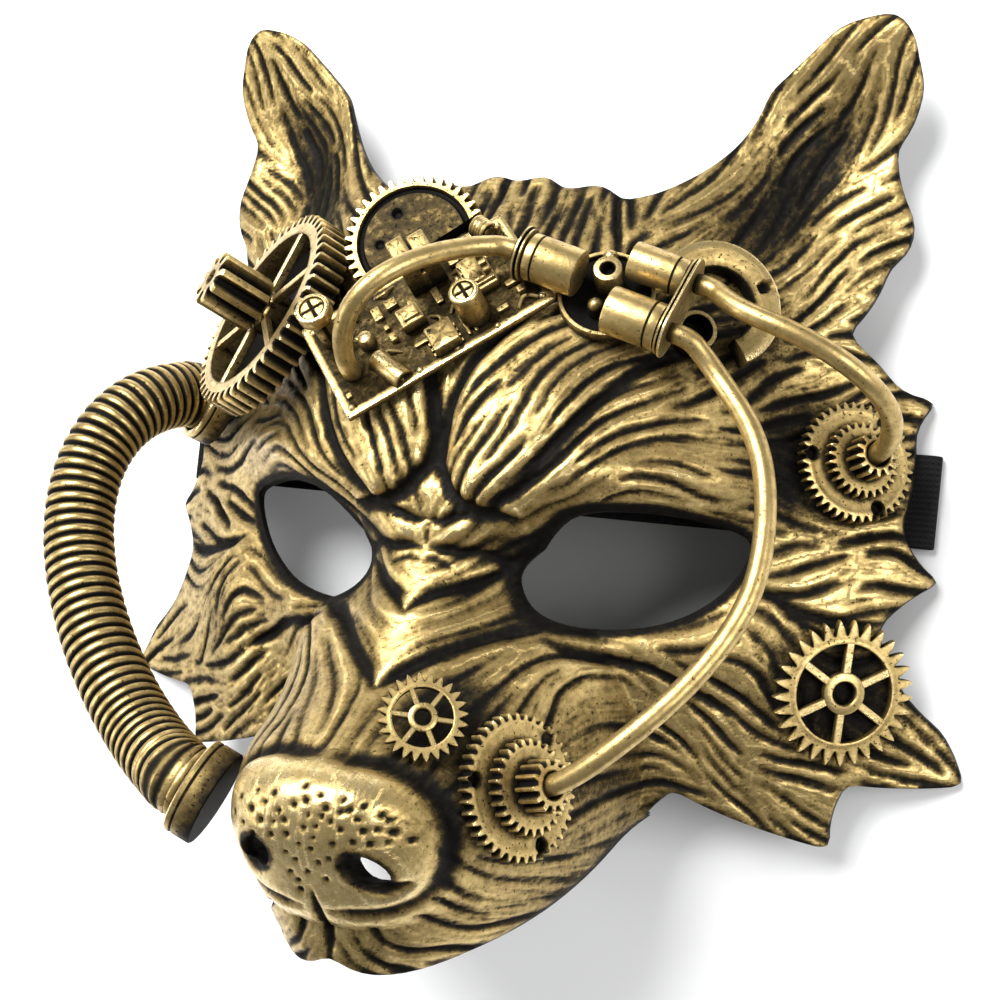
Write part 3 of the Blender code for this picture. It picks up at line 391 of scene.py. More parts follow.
def backHeight(x, y):
    # height - wall sqrt(1 + slope^2), so that the wall is even, with the root at most 3
    step, steepest = 0.7, 3.0
    height = faceHeight(x, y)
    slopeX = (faceHeight(x + step, y) - faceHeight(x - step, y)) / (2 * step)
    slopeY = (faceHeight(x, y + step) - faceHeight(x, y - step)) / (2 * step)
    lean = np.sqrt(1 + slopeX**2 + slopeY**2)
    return np.maximum(height - face["wall"] * np.minimum(lean, steepest), 0)


def noseShare(x, y):
    # 1 - u^fullness - v^fullness: 1 in the middle of the nose pad and 0 outside it
    across = np.abs(x) / face["noseHalfWidth"]
    along = np.abs(y - alongMm(face["noseAlong"])) / face["noseHalfLength"]
    return np.clip(1 - across**face["noseFullness"] - along**face["noseFullness"], 0, None)


def frontHeight(x, y):
    # the face with the nose pad on it, at least a wall over the back
    pad = face["noseRise"] * noseShare(x, y)**face["nosePower"]
    return np.maximum(faceHeight(x, y) + pad, backHeight(x, y) + face["wall"])


def bowedPath(corners, spacing):
    # each stretch start + t chord + 4 t (1 - t) bow side
    points = []
    for (a0, a1, bow), (b0, b1, _) in zip(corners[:-1], corners[1:]):
        start = spotOf(a0, a1)
        chord = spotOf(b0, b1) - start
        count = max(2, round(np.hypot(*chord) / spacing))
        t = np.arange(count)[:, None] / count
        points.append(start + t * chord + 4 * t * (1 - t) * bow * np.array((-chord[1], chord[0])))
    points.append(spotOf(*corners[-1][:2])[None])
    return np.vstack(points)


def roundLoop(points, count):
    # closed Catmull-Rom curve through the points
    points = np.asarray(points, float)
    total = len(points)
    share = np.arange(count) * total / count
    i = share.astype(int)
    t = (share - i)[:, None]
    a, b, c, d = (points[(i + shift) % total] for shift in (-1, 0, 1, 2))
    return 0.5 * (2 * b + (c - a) * t + (2 * a - 5 * b + 4 * c - d) * t**2
                  + (3 * b - a - 3 * c + d) * t**3)


def lengthAlong(path):
    # distance along a path to each of its points
    return np.concatenate(((0,), np.cumsum(np.linalg.norm(np.diff(path, axis=0), axis=1))))


def waysOf(path):
    # unit direction at each point of a path
    way = np.gradient(path, axis=0)
    return way / np.linalg.norm(way, axis=1)[:, None]


def sidesOf(loop):
    # unit normal at each corner of a closed loop, from its neighbours
    edge = np.roll(loop, -1, axis=0) - np.roll(loop, 1, axis=0)
    return np.stack((edge[:, 1], -edge[:, 0]), axis=1) / np.linalg.norm(edge, axis=1)[:, None]


def smoothPath(points, spacing):
    # Catmull-Rom curve through the points, read at even lengths
    points = np.asarray(points, float)
    ends = np.vstack((2 * points[0] - points[1], points, 2 * points[-1] - points[-2]))
    t = np.linspace(0, 1, 24, endpoint=False)[None, :, None]
    a, b, c, d = (ends[i:len(ends) - 3 + i][:, None] for i in range(4))
    dense = 0.5 * (2 * b + (c - a) * t + (2 * a - 5 * b + 4 * c - d) * t**2
                   + (3 * b - a - 3 * c + d) * t**3)
    dense = np.vstack((dense.reshape(-1, points.shape[1]), points[-1:]))
    reach = lengthAlong(dense)
    wanted = np.linspace(0, reach[-1], max(2, round(reach[-1] / spacing) + 1))
    return np.stack([np.interp(wanted, reach, dense[:, k]) for k in range(points.shape[1])], axis=1)


def insideLoop(points, loop):
    # even-odd rule, all points against each edge
    hit = np.zeros(len(points), bool)
    for a, b in zip(loop, np.roll(loop, -1, axis=0)):
        crosses = (a[1] > points[:, 1]) != (b[1] > points[:, 1])
        rise = b[1] - a[1] if b[1] != a[1] else 1
        hit ^= crosses & (points[:, 0] < (b[0] - a[0]) * (points[:, 1] - a[1]) / rise + a[0])
    return hit


def nearestOn(points, loops):
    # closest place on any loop, and how far it is
    best, far = points.copy(), np.full(len(points), 1e9)
    for loop in loops:
        for a, b in zip(loop, np.roll(loop, -1, axis=0)):
            edge = b - a
            t = np.clip((points - a) @ edge / max(edge @ edge, 1e-9), 0, 1)
            place = a + t[:, None] * edge
            away = np.linalg.norm(points - place, axis=1)
            closer = away < far
            best[closer], far[closer] = place[closer], away[closer]
    return best, far


def faceLoops(inset=0.0):
    # outline of the whole mask with its corners rounded, then both eyes and both nostrils
    half = bowedPath(face["outline"], 2.0)
    whole = np.vstack((half, half[-2:0:-1] * (-1, 1)))
    around = np.stack([np.roll(whole, k, axis=0) for k in (-1, 0, 1)])
    whole = 0.25 * around[0] + 0.5 * around[1] + 0.25 * around[2]
    eye = roundLoop([spotOf(*row) for row in face["eye"]], 48)
    across, along, length, width, lean = face["nostril"]
    turn = fullTurn(16)
    lean = radians(lean)
    oval = np.stack((length / 2 * np.cos(turn), width / 2 * np.sin(turn)), axis=1)
    nostril = oval @ np.array(((cos(lean), sin(lean)), (-sin(lean), cos(lean))))
    nostril = nostril + spotOf(0, face["noseAlong"]) + (across, along * face["noseHalfLength"])
    holes = [eye, eye * (-1, 1), nostril, nostril * (-1, 1)]
    loops = [whole] + holes
    if inset:
        moved = []
        for number, loop in enumerate(loops):
            area = np.sum(loop[:, 0] * np.roll(loop[:, 1], -1) - loop[:, 1] * np.roll(loop[:, 0], -1))
            out = sidesOf(loop) * (1 if area > 0 else -1)
            moved.append(loop + out * (inset if number else -inset))
        loops = moved
    return loops


class FaceGrid:
    # grid over the mask; kept cells lie inside the outline and outside the holes, and the corners on
    # their edge are drawn onto the loops
    def __init__(self, xs, ys, loops):
        self.xs, self.ys = xs, ys
        gridX, gridY = np.meshgrid(xs, ys)
        self.x, self.y = gridX.copy(), gridY.copy()
        middle = np.stack([(g[:-1, :-1] + g[1:, 1:]).ravel() / 2 for g in (gridX, gridY)], axis=1)
        kept = insideLoop(middle, loops[0])
        for loop in loops[1:]:
            kept &= ~insideLoop(middle, loop)
        quads = gridQuads(len(ys), len(xs), wrap=False)[kept]
        sides = np.concatenate([quads[:, (k, (k + 1) % 4)] for k in range(4)])
        key = sides[:, 0].astype(np.int64) * gridX.size + sides[:, 1]
        back = sides[:, 1].astype(np.int64) * gridX.size + sides[:, 0]
        self.rim = sides[~np.isin(key, back)]
        self.quads = quads
        edge = np.unique(self.rim)
        flat = np.stack((gridX.ravel()[edge], gridY.ravel()[edge]), axis=1)
        flat, _ = nearestOn(flat, loops)
        self.x.ravel()[edge], self.y.ravel()[edge] = flat[:, 0], flat[:, 1]
        self.used = np.unique(quads)

    def packed(self, faces):
        # faces on the whole grid renumbered to the used corners
        table = np.full(self.x.size, -1)
        table[self.used] = np.arange(len(self.used))
        return table[faces]


def blurred(values, sigma):
    # separable Gaussian over grid cells
    reach = int(3 * sigma) + 1
    kernel = np.exp(-0.5 * (np.arange(-reach, reach + 1) / sigma)**2)
    kernel /= kernel.sum()
    for axis in (0, 1):
        padded = np.pad(values, [(reach, reach) if k == axis else (0, 0) for k in (0, 1)], mode="edge")
        size = values.shape[axis]
        values = sum(w * np.take(padded, np.arange(i, i + size), axis=axis) for i, w in enumerate(kernel))
    return values


# Fur: grooves between locks follow strokes read off the mask, root to tip, mirrored on the other
# half

fur = {
    # lock width, groove depth, the stroke
    "strokes": (
        (3.4, 0.9, ((0.1, 20), (0.4, 28.4), (4.5, 36.9), (11.8, 43.9), (19.9, 50.2), (28.4, 55.5))),
        (3.4, 0.9, ((7.9, 12.5), (12.8, 22.7), (18.4, 33.5), (25.3, 40.7), (33.2, 46.2), (43.8, 52.2))),
        (3.4, 0.9, ((16.1, 11.8), (23.4, 23.2), (28.2, 30.4), (33.3, 37.5), (41, 43), (51, 45.8))),
        (3.6, 1.0, ((24.4, 14.7), (29.9, 22.4), (36.3, 31.1), (45.1, 39), (54.7, 44.9), (63.8, 51.2))),
        (3.4, 0.8, ((28.1, 16.1), (36.7, 23.3), (45.9, 27.9), (55.8, 28.6), (63.8, 32.2), (73.9, 39.1))),
        (3.2, 0.7, ((32.6, 16.6), (43.7, 21.9), (53.6, 21.8), (61.2, 21), (67.6, 15.8))),
        (3.0, 0.6, ((27.1, 11.1), (41.2, 15.2), (51, 14.9), (59.1, 12.9), (68, 9.6))),
        (3.6, 0.9, ((62, 21.1), (67.7, 14.1), (76.9, 11.2), (86.6, 15.2))),
        (3.8, 1.0, ((63, 2.8), (68.3, 6.5), (77.5, 6.2), (86.3, 9.5), (93.8, 5.5))),
        (3.8, 1.0, ((63.7, -3.4), (72.7, -0.2), (81.5, 3.3), (91.7, 2.1))),
        (3.8, 1.0, ((64.1, -6.4), (73.5, -6.8), (81.4, -3.8), (90.3, -1.9))),
        (3.4, 0.9, ((65.7, 31.4), (74, 37.6), (82.1, 42.4), (88.8, 40.2))),
        (3.4, 0.9, ((57.5, 35.3), (62, 42), (69.5, 47.5), (79, 44.7))),
        (3.0, 0.8, ((60.6, 54.9), (67.2, 62.4), (74.7, 69.8), (81.4, 73.9))),
        (3.0, 0.8, ((62.1, 49.8), (68.9, 55.8), (74.2, 59.1), (77.7, 61.7))),
        (3.0, 0.8, ((59.5, 68.2), (65.6, 78.3), (73, 85.4), (79.7, 90))),
        (2.8, 0.8, ((51.3, 68.9), (55.8, 79.5), (60.3, 89.3), (65.7, 98.3), (71.2, 106.4),
                    (75.3, 114.4))),
        (3.0, 0.8, ((42.4, 66.7), (47.5, 77), (53, 89.4), (59.5, 102.3), (67, 111.9), (73.8, 116.7))),
        (3.4, 0.9, ((31.9, 66.5), (40.1, 72.1), (44.7, 79.5), (49.6, 88.6))),
        (3.0, 0.7, ((68, 90), (72, 97.5), (75.8, 104.6), (78.1, 110.6))),
        (4.4, 1.2, ((1.2, 63.3), (0.6, 72.2), (0.2, 79.5))),
        (4.4, 1.2, ((15.8, 62.8), (14.1, 71.4), (13, 78.2))),
        (4.0, 1.2, ((28.4, 64.3), (27.4, 69.9), (27.1, 74))),
        (5.0, 0.35, ((27.1, -16.3), (36.8, -17.3), (47.9, -14.7), (56.8, -9.4), (62.8, -3.5))),
        (3.2, 0.8, ((24.9, -18.1), (34.3, -21.6), (42.7, -24.9), (49.9, -32.1), (60.7, -41.2),
                    (69.8, -49.7), (77.2, -54.6))),
        (3.6, 0.9, ((37.2, -19.9), (48.4, -22.1), (56.2, -28.1), (65.5, -35.3), (75.1, -39.5),
                    (85.5, -40.5))),
        (3.6, 1.0, ((72.2, -38.8), (83.4, -37.8), (92.1, -39.3), (100.8, -40.9))),
        (3.6, 1.0, ((86.9, -21.5), (92.8, -26.1), (97.9, -33.9), (102.2, -40.7))),
        (3.2, 0.8, ((59.7, -9), (66.9, -15.4), (71.6, -25.2), (74.8, -34.3))),
        (3.4, 0.9, ((64, -5.4), (70.6, -12.9), (80, -16), (89.7, -12.9))),
        (2.6, 0.8, ((29.2, -35.2), (29.9, -28.5), (34.2, -24.2), (40.8, -25.9), (47.9, -31.3))),
        (2.6, 0.8, ((33, -36.1), (35.9, -32.2), (40.3, -34.3), (48, -38.8), (56.8, -45))),
        (3.0, 0.7, ((10.6, -25.2), (17.5, -20.5), (25.4, -17.3), (33.3, -18.9))),
        (3.0, 0.7, ((15.7, -31.6), (20.4, -26.4), (24.9, -22.4), (30.8, -20.5))),
        (3.0, 0.8, ((23, -53.1), (28.6, -57.7), (32.9, -58.2), (36.9, -53.5), (40.6, -50),
                    (52.8, -48.1))),
        (3.0, 0.8, ((33.7, -44.6), (37.3, -44.1), (40.6, -43.9), (50.5, -44.8))),
        (3.6, 0.9, ((20.5, -60.1), (22.4, -66.2), (25.6, -71.1), (29.9, -69.9))),
        (3.6, 0.9, ((13.3, -65.9), (17.5, -70.2), (21.8, -75.9), (27.1, -73.9))),
        (3.6, 0.9, ((6, -71.1), (7.4, -76.2), (12.5, -79.9), (18, -79.4))),
        (4.5, 0.45, ((0.1, -14), (5.9, -11.5), (11.3, -6.7), (16.5, -3.2))),
        (4.5, 0.45, ((0.1, -29), (6.1, -22.6), (13.5, -19), (20.3, -17))),
        (4.0, 0.6, ((0.7, -41.6), (0.6, -36.9), (1.3, -31.4))),
        (4.4, 0.6, ((11.9, -40.8), (14.4, -37.1), (14.5, -30.8), (17.5, -25.2))),
        (3.6, 0.7, ((19.1, -42.8), (18.5, -37.7), (19.9, -30.3), (25.3, -24))),
        (6.0, 0.1, ((3, -61.6), (3, -52.1), (2, -44.8))),
        (3.6, 1.0, ((0.4, 21.9), (0.5, 29), (1, 37.5), (2, 49.8), (3, 61.8)))),
    "lockLength": 62.0, "strandLength": 16.0, "strandShare": 0.42, "strandDepth": 0.30,
    "crest": 0.32, "cut": 1.75, "lip": 0.30,    # shares of the stroke's depth
    "sample": 0.5, "flowStep": 1.5, "rootShare": 0.35, "shortest": 0.26,
    "seedSpacing": 1.9, "seedShare": 2.2,
    "apart": 0.64, "reach": 0.60, "force": (0.45, 1.15),
    "deepest": -2.0, "highest": 1.1, "pitWidths": (0.38, 0.66), "pitDepth": 0.8,
    # soft swellings of the skin: x, y, reach across, reach along, turn, rise
    "swells": (
        (5.6, 1.1, 5.6, 2.2, 4, 0.75), (0.0, 9.5, 3.6, 4.6, 0, 0.7), (6.0, -7.0, 6.0, 3.2, 22, 0.6),
        (4.6, -14.0, 6.0, 3.4, 38, 0.7), (7.0, -22.5, 7.0, 3.4, 38, 0.6), (8.0, 14.0, 5.0, 6.0, -25, 0.8),
        (18.0, 25.0, 9.0, 13.0, -40, 0.7), (44.0, 17.0, 16.0, 4.5, 5, 0.7),
        (44.0, -16.0, 15.0, 3.2, 8, 0.8), (62.0, 98.0, 3.0, 16.0, -28, 0.5),
        (12.0, -34.0, 5.0, 7.0, 0, 0.5)),
    # where pieces stand, so that no lock rises into them
    "seats": ((-50.4, 44.9, 24, 20, 0, 1.0), (50.4, 44.9, 24, 20, 0, 1.0), (16, 62, 16, 14, 0, 1.0),
              (7, 45, 28, 17, 0, 1.0), (28, 52, 15, 15, 0, 1.0), (76, 24, 16, 15, 0, 1.0),
              (79, -23, 17, 17, 0, 1.0), (15, -34, 10, 10, 0, 1.0), (32, -46, 13, 16, 0, 1.0),
              (26, -59, 12, 12, 0, 1.0)),
    # creases: half width, depth, line
    "creases": (
        (1.5, 1.9, ((0, 26), (0, 17.4), (3, 12.3), (6.5, 8), (11.4, 5.8), (17.9, 5.5))),
        (1.0, 1.4, ((0, 4.0), (2.6, 3.4), (5.7, 4.4), (10, 5.2), (15.5, 5.6))),
        (0.8, 0.9, ((0, 3.4), (0.3, 0.5), (0, -1.9))),
        (1.0, 1.3, ((0, -2.2), (3.5, -1.8), (7.5, -2.3), (13.4, -1.8))),
        (0.9, 0.9, ((0, -4.4), (3.5, -4.4), (6.5, -5.9))),
        (1.3, 1.5, ((0, -15.4), (4.0, -11.8), (9, -9.3), (14.3, -6.1))),
        (1.4, 1.6, ((0, -30.4), (4.2, -26.3), (11.1, -21.4), (18.5, -17.4), (24, -16.5))),
        (1.3, 1.4, ((3.6, 10), (1.6, 15), (1.0, 21), (1.9, 28.4), (5.2, 36.9), (10, 44))),
        (1.5, 1.5, ((11.8, 6.5), (19.6, 11.8), (26.4, 21.9), (32, 30.9), (39, 39.5), (48.5, 45.4))),
        (1.4, 1.3, ((19, -1), (16, -3.4), (12.5, -2.6))),
        (1.0, 0.9, ((0, -41.9), (5, -42.0), (10.7, -42.3), (16.6, -44.2), (21.0, -47.5), (23.4, -52.9),
                    (22.8, -60), (19.6, -66.2), (14, -69.6), (8, -70.8), (3, -71))),
        (0.9, 1.3, ((0, -66.5), (0.2, -72), (0, -83))),
        (1.3, 1.7, ((9.0, -64.4), (13.6, -65.2), (18.2, -63.4))),
        (1.1, 1.2, ((24.9, -18.1), (33.8, -20.6), (42.9, -22.3), (50.1, -26), (58.3, -30))),
        (1.3, 1.3, ((62, -4), (69.9, -7.2), (79.3, -9.2), (84.6, -7.9)))),
    # pits of the nose pad
    "pits": ((-7.6, -51.2), (-4.3, -52.3), (-3.1, -53.8), (2, -52), (1, -49.5), (5.2, -50.3),
             (8.1, -48.5), (11.1, -51.6), (14.4, -53.1), (8.3, -53.8), (6.8, -56.8), (10.5, -55.9),
             (13.4, -55.9), (-0.2, -58), (2.2, -58.5), (3.3, -60.9), (-1.6, -61.2), (-3.4, -59.9),
             (-3.5, -64), (-2.2, -65.4), (4, -64.2), (-2.3, -67.5), (3.5, -54), (6.4, -52.6),
             (0.1, -47), (8.1, -50.6), (16, -51.2), (16.1, -55.3), (19.2, -54.7), (-8.4, -54.7),
             (-6.1, -57.1), (3.7, -48.2), (11.8, -49.1), (9.2, -58.7), (2.9, -56.2), (-11, -53),
             (5.6, -59.8), (12.2, -53.6), (9.6, -50.0), (-1.2, -50.6), (-2.6, -56.4), (7.4, -61.2),
             (14.8, -50.4), (4.6, -51.9), (-5.4, -54.6), (1.0, -54.6), (0.4, -63.2), (16.8, -53.4),
             (-13.5, -56.2), (-14.6, -51.5), (-17, -55), (-10.6, -57.8), (-5.9, -49.2), (-10, -49.4)),
    # places that hardly take gold, darkened further by painted shade: x, y, reach across, reach along,
    # turn, share
    "pools": (
        (60.0, 86.0, 7.5, 17.0, -26, 0.85), (53.0, 72.0, 8.0, 9.0, -20, 0.65),
        (16.0, -2.0, 5.0, 6.5, -25, 0.60), (22.0, -14.5, 6.0, 3.6, -15, 0.55),
        (68.0, -22.0, 5.0, 10.0, 0, 0.25), (18.0, 71.0, 24.0, 9.0, 0, 0.32),
        (0.0, 24.0, 1.6, 9.0, 0, 0.35), (44.0, -47.0, 9.0, 3.0, 0, 0.35)),
    # painted shade round the gears, the board and the valve, on their own side only
    "shades": (
        (79.0, -23.0, 12.0, 12.0, 0, 0.90), (15.0, -34.0, 8.0, 8.0, 0, 0.90),
        (66.0, 24.0, 7.0, 12.0, 0, 0.85), (73.0, 26.0, 14.0, 14.0, 0, 0.40),
        (26.0, -47.0, 10.0, 12.0, 0, 0.60), (44.0, 50.0, 14.0, 9.0, 15, 0.45),
        (48.0, 42.0, 8.0, 6.0, 0, 0.35), (38.0, -35.0, 9.0, 5.0, -30, 0.22),
        (58.0, 46.0, 6.0, 10.0, 0, 0.45), (12.0, 36.0, 12.0, 5.0, 15, 0.25)),
}


def strokeSamples():
    # places, directions, widths and depths along all strokes, about 3 mm apart
    places, ways, widths, depths = [], [], [], []
    for width, depth, stroke in fur["strokes"]:
        path = smoothPath(stroke, 3.0)
        places.append(path)
        ways.append(waysOf(path))
        widths.append(np.full(len(path), width))
        depths.append(np.full(len(path), depth))
    return np.vstack(places), np.vstack(ways), np.concatenate(widths), np.concatenate(depths)


class Flow:
    # direction, lock width and groove depth anywhere: sum w v / sum w with w = 1 / (d^2 + 4)^2; the
    # direction then wanders by two waves across the face
    def __init__(self):
        places, ways, widths, depths = strokeSamples()
        self.spacing = spacing = fur["flowStep"]
        self.xs = np.arange(-3, 108, spacing)
        self.ys = np.arange(-90, 124, spacing)
        gridX, gridY = np.meshgrid(self.xs, self.ys)
        away = (gridX[..., None] - places[:, 0])**2 + (gridY[..., None] - places[:, 1])**2
        weight = 1 / (away + 4.0)**2
        total = weight.sum(axis=-1)
        table = np.stack((weight @ ways[:, 0], weight @ ways[:, 1], weight @ widths,
                          weight @ depths), axis=-1) / total[..., None]
        wander = 0.16 * np.sin(gridX / 5.3 + gridY / 8.1) + 0.13 * np.sin(gridX / 3.9 - gridY / 5.2 + 2)
        wander = wander * np.clip(np.abs(gridX) / 8, 0, 1)
        x, y = table[..., 0].copy(), table[..., 1].copy()
        table[..., 0] = x * np.cos(wander) - y * np.sin(wander)
        table[..., 1] = x * np.sin(wander) + y * np.cos(wander)
        self.table = table

    def at(self, x, y):
        # the table read between its corners, mirrored on the other half
        side = np.where(x < 0, -1.0, 1.0)
        column = np.clip((np.abs(x) - self.xs[0]) / self.spacing, 0, len(self.xs) - 1.001)
        row = np.clip((y - self.ys[0]) / self.spacing, 0, len(self.ys) - 1.001)
        i, j = row.astype(int), column.astype(int)
        u, v = (row - i)[..., None], (column - j)[..., None]
        value = ((1 - u) * ((1 - v) * self.table[i, j] + v * self.table[i, j + 1])
                 + u * ((1 - v) * self.table[i + 1, j] + v * self.table[i + 1, j + 1]))
        way = value[..., :2] / np.maximum(np.linalg.norm(value[..., :2], axis=-1), 1e-6)[..., None]
        way[..., 0] *= side
        return way, value[..., 2], value[..., 3]


def traced(flow, seeds, length, spacing):
    # every seed's line at once: steps back to its root, a share of the line, then forward to its tip
    steps = int(length / spacing)
    back = seeds.copy()
    for _ in range(int(steps * fur["rootShare"])):
        back -= flow.at(back[:, 0], back[:, 1])[0] * spacing
    line = [back]
    for _ in range(steps):
        line.append(line[-1] + flow.at(line[-1][:, 0], line[-1][:, 1])[0] * spacing)
    return np.stack(line, axis=1)


def nearestLine(grid, height, lines, widths, reach):
    # for each grid corner the nearest sample of any line, measured in that line's own width; share
    # and sample number are packed in one key, so that the smallest key is the nearest sample
    far, unit, bits = 30.0, 100000, 24
    total = lines.shape[1]
    flat = lines.reshape(-1, 2)
    width = widths.reshape(-1)
    depth = frontHeight(flat[:, 0], flat[:, 1])
    columns, rows = len(grid.xs), len(grid.ys)
    j = np.searchsorted(grid.xs, flat[:, 0])
    i = np.searchsorted(grid.ys, flat[:, 1])
    best = np.full(rows * columns, 2**62, np.int64)
    number = np.arange(len(flat), dtype=np.int64)
    good = width > 0.05
    for di in range(-reach, reach + 1):
        for dj in range(-reach, reach + 1):
            r, c = i + di, j + dj
            ok = good & (r >= 0) & (r < rows) & (c >= 0) & (c < columns)
            cell = r[ok] * columns + c[ok]
            away = ((grid.xs[c[ok]] - flat[ok, 0])**2 + (grid.ys[r[ok]] - flat[ok, 1])**2
                    + 0.7 * (height.ravel()[cell] - depth[ok])**2)
            share = np.minimum(np.sqrt(away) / width[ok], far)
            key = (share * unit).astype(np.int64) << bits | number[ok]
            np.minimum.at(best, cell, key)
    found = best < 2**61
    sample = (best & (2**bits - 1)).astype(np.int64)
    sample[~found] = 0
    share = np.where(found, (best >> bits) / unit, far)
    way = np.gradient(lines, axis=1).reshape(-1, 2)
    way = way / np.maximum(np.linalg.norm(way, axis=1), 1e-6)[:, None]
    offset = np.stack((np.meshgrid(grid.xs, grid.ys)), axis=-1).reshape(-1, 2) - flat[sample]
    turn = way[sample]
    along = (sample % total) + (offset * turn).sum(axis=1)
    across = offset[:, 0] * turn[:, 1] - offset[:, 1] * turn[:, 0]
    shape = (rows, columns)
    return (share.reshape(shape), (sample // total).reshape(shape), along.reshape(shape),
            across.reshape(shape))


def scattered(flow, spacing, thin):
    # jittered places over the face, fewer where the locks are wide
    xs, ys = np.arange(-106, 106, spacing), np.arange(-88, 122, spacing)
    x, y = (g.ravel() for g in np.meshgrid(xs, ys))
    x = x + rng.uniform(-0.5, 0.5, len(x)) * spacing
    y = y + rng.uniform(-0.5, 0.5, len(y)) * spacing
    _, width, _ = flow.at(x, y)
    keep = rng.random(len(x)) < thin * (spacing / width)
    return np.stack((x[keep], y[keep]), axis=1)


def chosenLines(lines, widths, shortest):
    # lines taken one by one where no taken line is nearer than their width; of each the
    # longest free stretch stays, and its share from root to tip (or -1 outside) is returned
    cell, left, low, long = 0.5, 108, 90, 214
    columns, rows = round(2 * left / cell), round(long / cell)
    taken = np.zeros((rows, columns), bool)
    kept, runs = [], []
    span = np.arange(-8, 9)
    offsetX, offsetY = np.meshgrid(span, span)
    for line, width in zip(lines, widths):
        j = np.clip(((line[:, 0] + left) / cell).astype(int), 0, columns - 1)
        i = np.clip(((line[:, 1] + low) / cell).astype(int), 0, rows - 1)
        free = np.concatenate(((False,), ~taken[i, j], (False,)))
        edges = np.nonzero(free[1:] != free[:-1])[0]
        starts, ends = edges[::2], edges[1::2]
        if len(starts) == 0:
            continue
        longest = np.argmax(ends - starts)
        start, end = starts[longest], ends[longest]
        if end - start < shortest:
            continue
        near = np.hypot(offsetX, offsetY) * cell < width
        rowsNear = np.clip(i[start:end, None] + offsetY[near], 0, rows - 1)
        columnsNear = np.clip(j[start:end, None] + offsetX[near], 0, columns - 1)
        taken[rowsNear, columnsNear] = True
        share = np.full(len(line), -1.0)
        share[start:end] = np.linspace(0, 1, end - start)
        kept.append(line)
        runs.append(share)
    return np.array(kept), np.array(runs)


def grooves(grid, height, flow, length, fineness):
    # for each grid corner the nearest groove: its distance as a share of the reach, its number,
    # the places along and across it, and its strength sin(pi t)^0.6, random from groove to groove
    spacing = fur["sample"]
    seeds = scattered(flow, fur["seedSpacing"] * fineness, fur["seedShare"])
    lines = traced(flow, seeds, length, spacing)
    middle = lines[:, lines.shape[1] // 2]
    apart = flow.at(middle[:, 0], middle[:, 1])[1] * fineness * fur["apart"]
    lines, runs = chosenLines(lines, apart, round(length * fur["shortest"] / spacing))
    _, width, _ = flow.at(lines[..., 0], lines[..., 1])
    reaches = width * fineness * fur["reach"] * (runs >= 0)
    share, line, along, across = nearestLine(grid, height, lines, reaches, 6)
    at = np.clip(np.round(along).astype(int), 0, lines.shape[1] - 1)
    force = rng.uniform(*fur["force"], len(lines))[line]
    strength = force * np.sin(pi * np.clip(runs[line, at], 0, 1))**0.6
    return np.minimum(share, 1.0), line, along, across, strength


def creaseDepth(grid, rows, mirrored=True):
    # depth exp(-(d/halfWidth)^2) near each line, thinning to its ends, the deepest one counting
    deepest = np.zeros(grid.x.shape)
    points = np.stack((grid.x.ravel(), grid.y.ravel()), axis=1)
    for half, depth, line in rows:
        path = smoothPath(line, 0.8) if len(line) > 2 else np.asarray(line, float)
        ends = np.minimum(np.arange(len(path)), np.arange(len(path))[::-1]) / 9
        taper = np.clip(ends + 0.30, 0, 1) if len(path) > 2 else np.ones(2)
        for side in ((1, -1) if mirrored else (1,)):
            spots = path * (side, 1)
            low, high = spots.min(axis=0) - 4, spots.max(axis=0) + 4
            near = np.nonzero(((points > low) & (points < high)).all(axis=1))[0]
            best = np.zeros(len(near))
            for (a, b), t in zip(zip(spots[:-1], spots[1:]), taper):
                edge = b - a
                share = np.clip((points[near] - a) @ edge / max(edge @ edge, 1e-9), 0, 1)
                away = np.linalg.norm(points[near] - a - share[:, None] * edge, axis=1) / (half * t)
                best = np.maximum(best, depth * t * np.exp(-away**2))
            flat = deepest.ravel()
            flat[near] = np.maximum(flat[near], best)
    return deepest


def poolShare(x, y, rows):
    # share exp(-(u^2 + v^2)^1.5) of each row, in axes turned by its turn, all laid over one another
    total = np.zeros(np.shape(x))
    for px, py, wide, high, turn, share in rows:
        u, v = ownAxes(np.abs(x) - px, y - py, turn)
        total = 1 - (1 - total) * (1 - share * np.exp(-((u / wide)**2 + (v / high)**2)**1.5))
    return total


def easyStep(value, low, high):
    # t^2 (3 - 2 t), 0 at low and 1 at high
    t = np.clip((value - low) / (high - low), 0, 1)
    return t * t * (3 - 2 * t)


def warpedSteps(low, high, step, tight):
    # places from low to high, closer together where tight(place) is above 1
    fine = np.linspace(low, high, 4000)
    pace = np.concatenate(((0,), np.cumsum(tight(fine)[:-1] * np.diff(fine))))
    return np.interp(np.linspace(0, pace[-1], round(pace[-1] / step) + 1), pace, fine)


def awayFrom(grid, loops):
    # distance of each used corner of the grid from the loops; 10 mm at the unused ones
    flat = np.stack((grid.x.ravel(), grid.y.ravel()), axis=1)
    away = np.full(grid.x.size, 10.0)
    _, away[grid.used] = nearestOn(flat[grid.used], loops)
    return away.reshape(grid.x.shape)


# how much gold each thing leaves on the skin or takes from it; the share for pools also
# paints shade there and round the pieces
rubbingAndShade = {
    "plain": 0.62, "crest": 0.40, "nose": 0.12,
    "groove": 0.62, "strand": 0.22, "crease": 0.42, "pit": 0.85, "pool": 0.62,
    "eyeRim": 0.42, "eyeEdge": 0.2, "holeRim": 0.55, "outline": 0.12, "steep": 0.10,
    "eyeReach": (0.7, 3.0), "holeReach": (0.2, 1.5), "eyeSunk": 0.35,
}


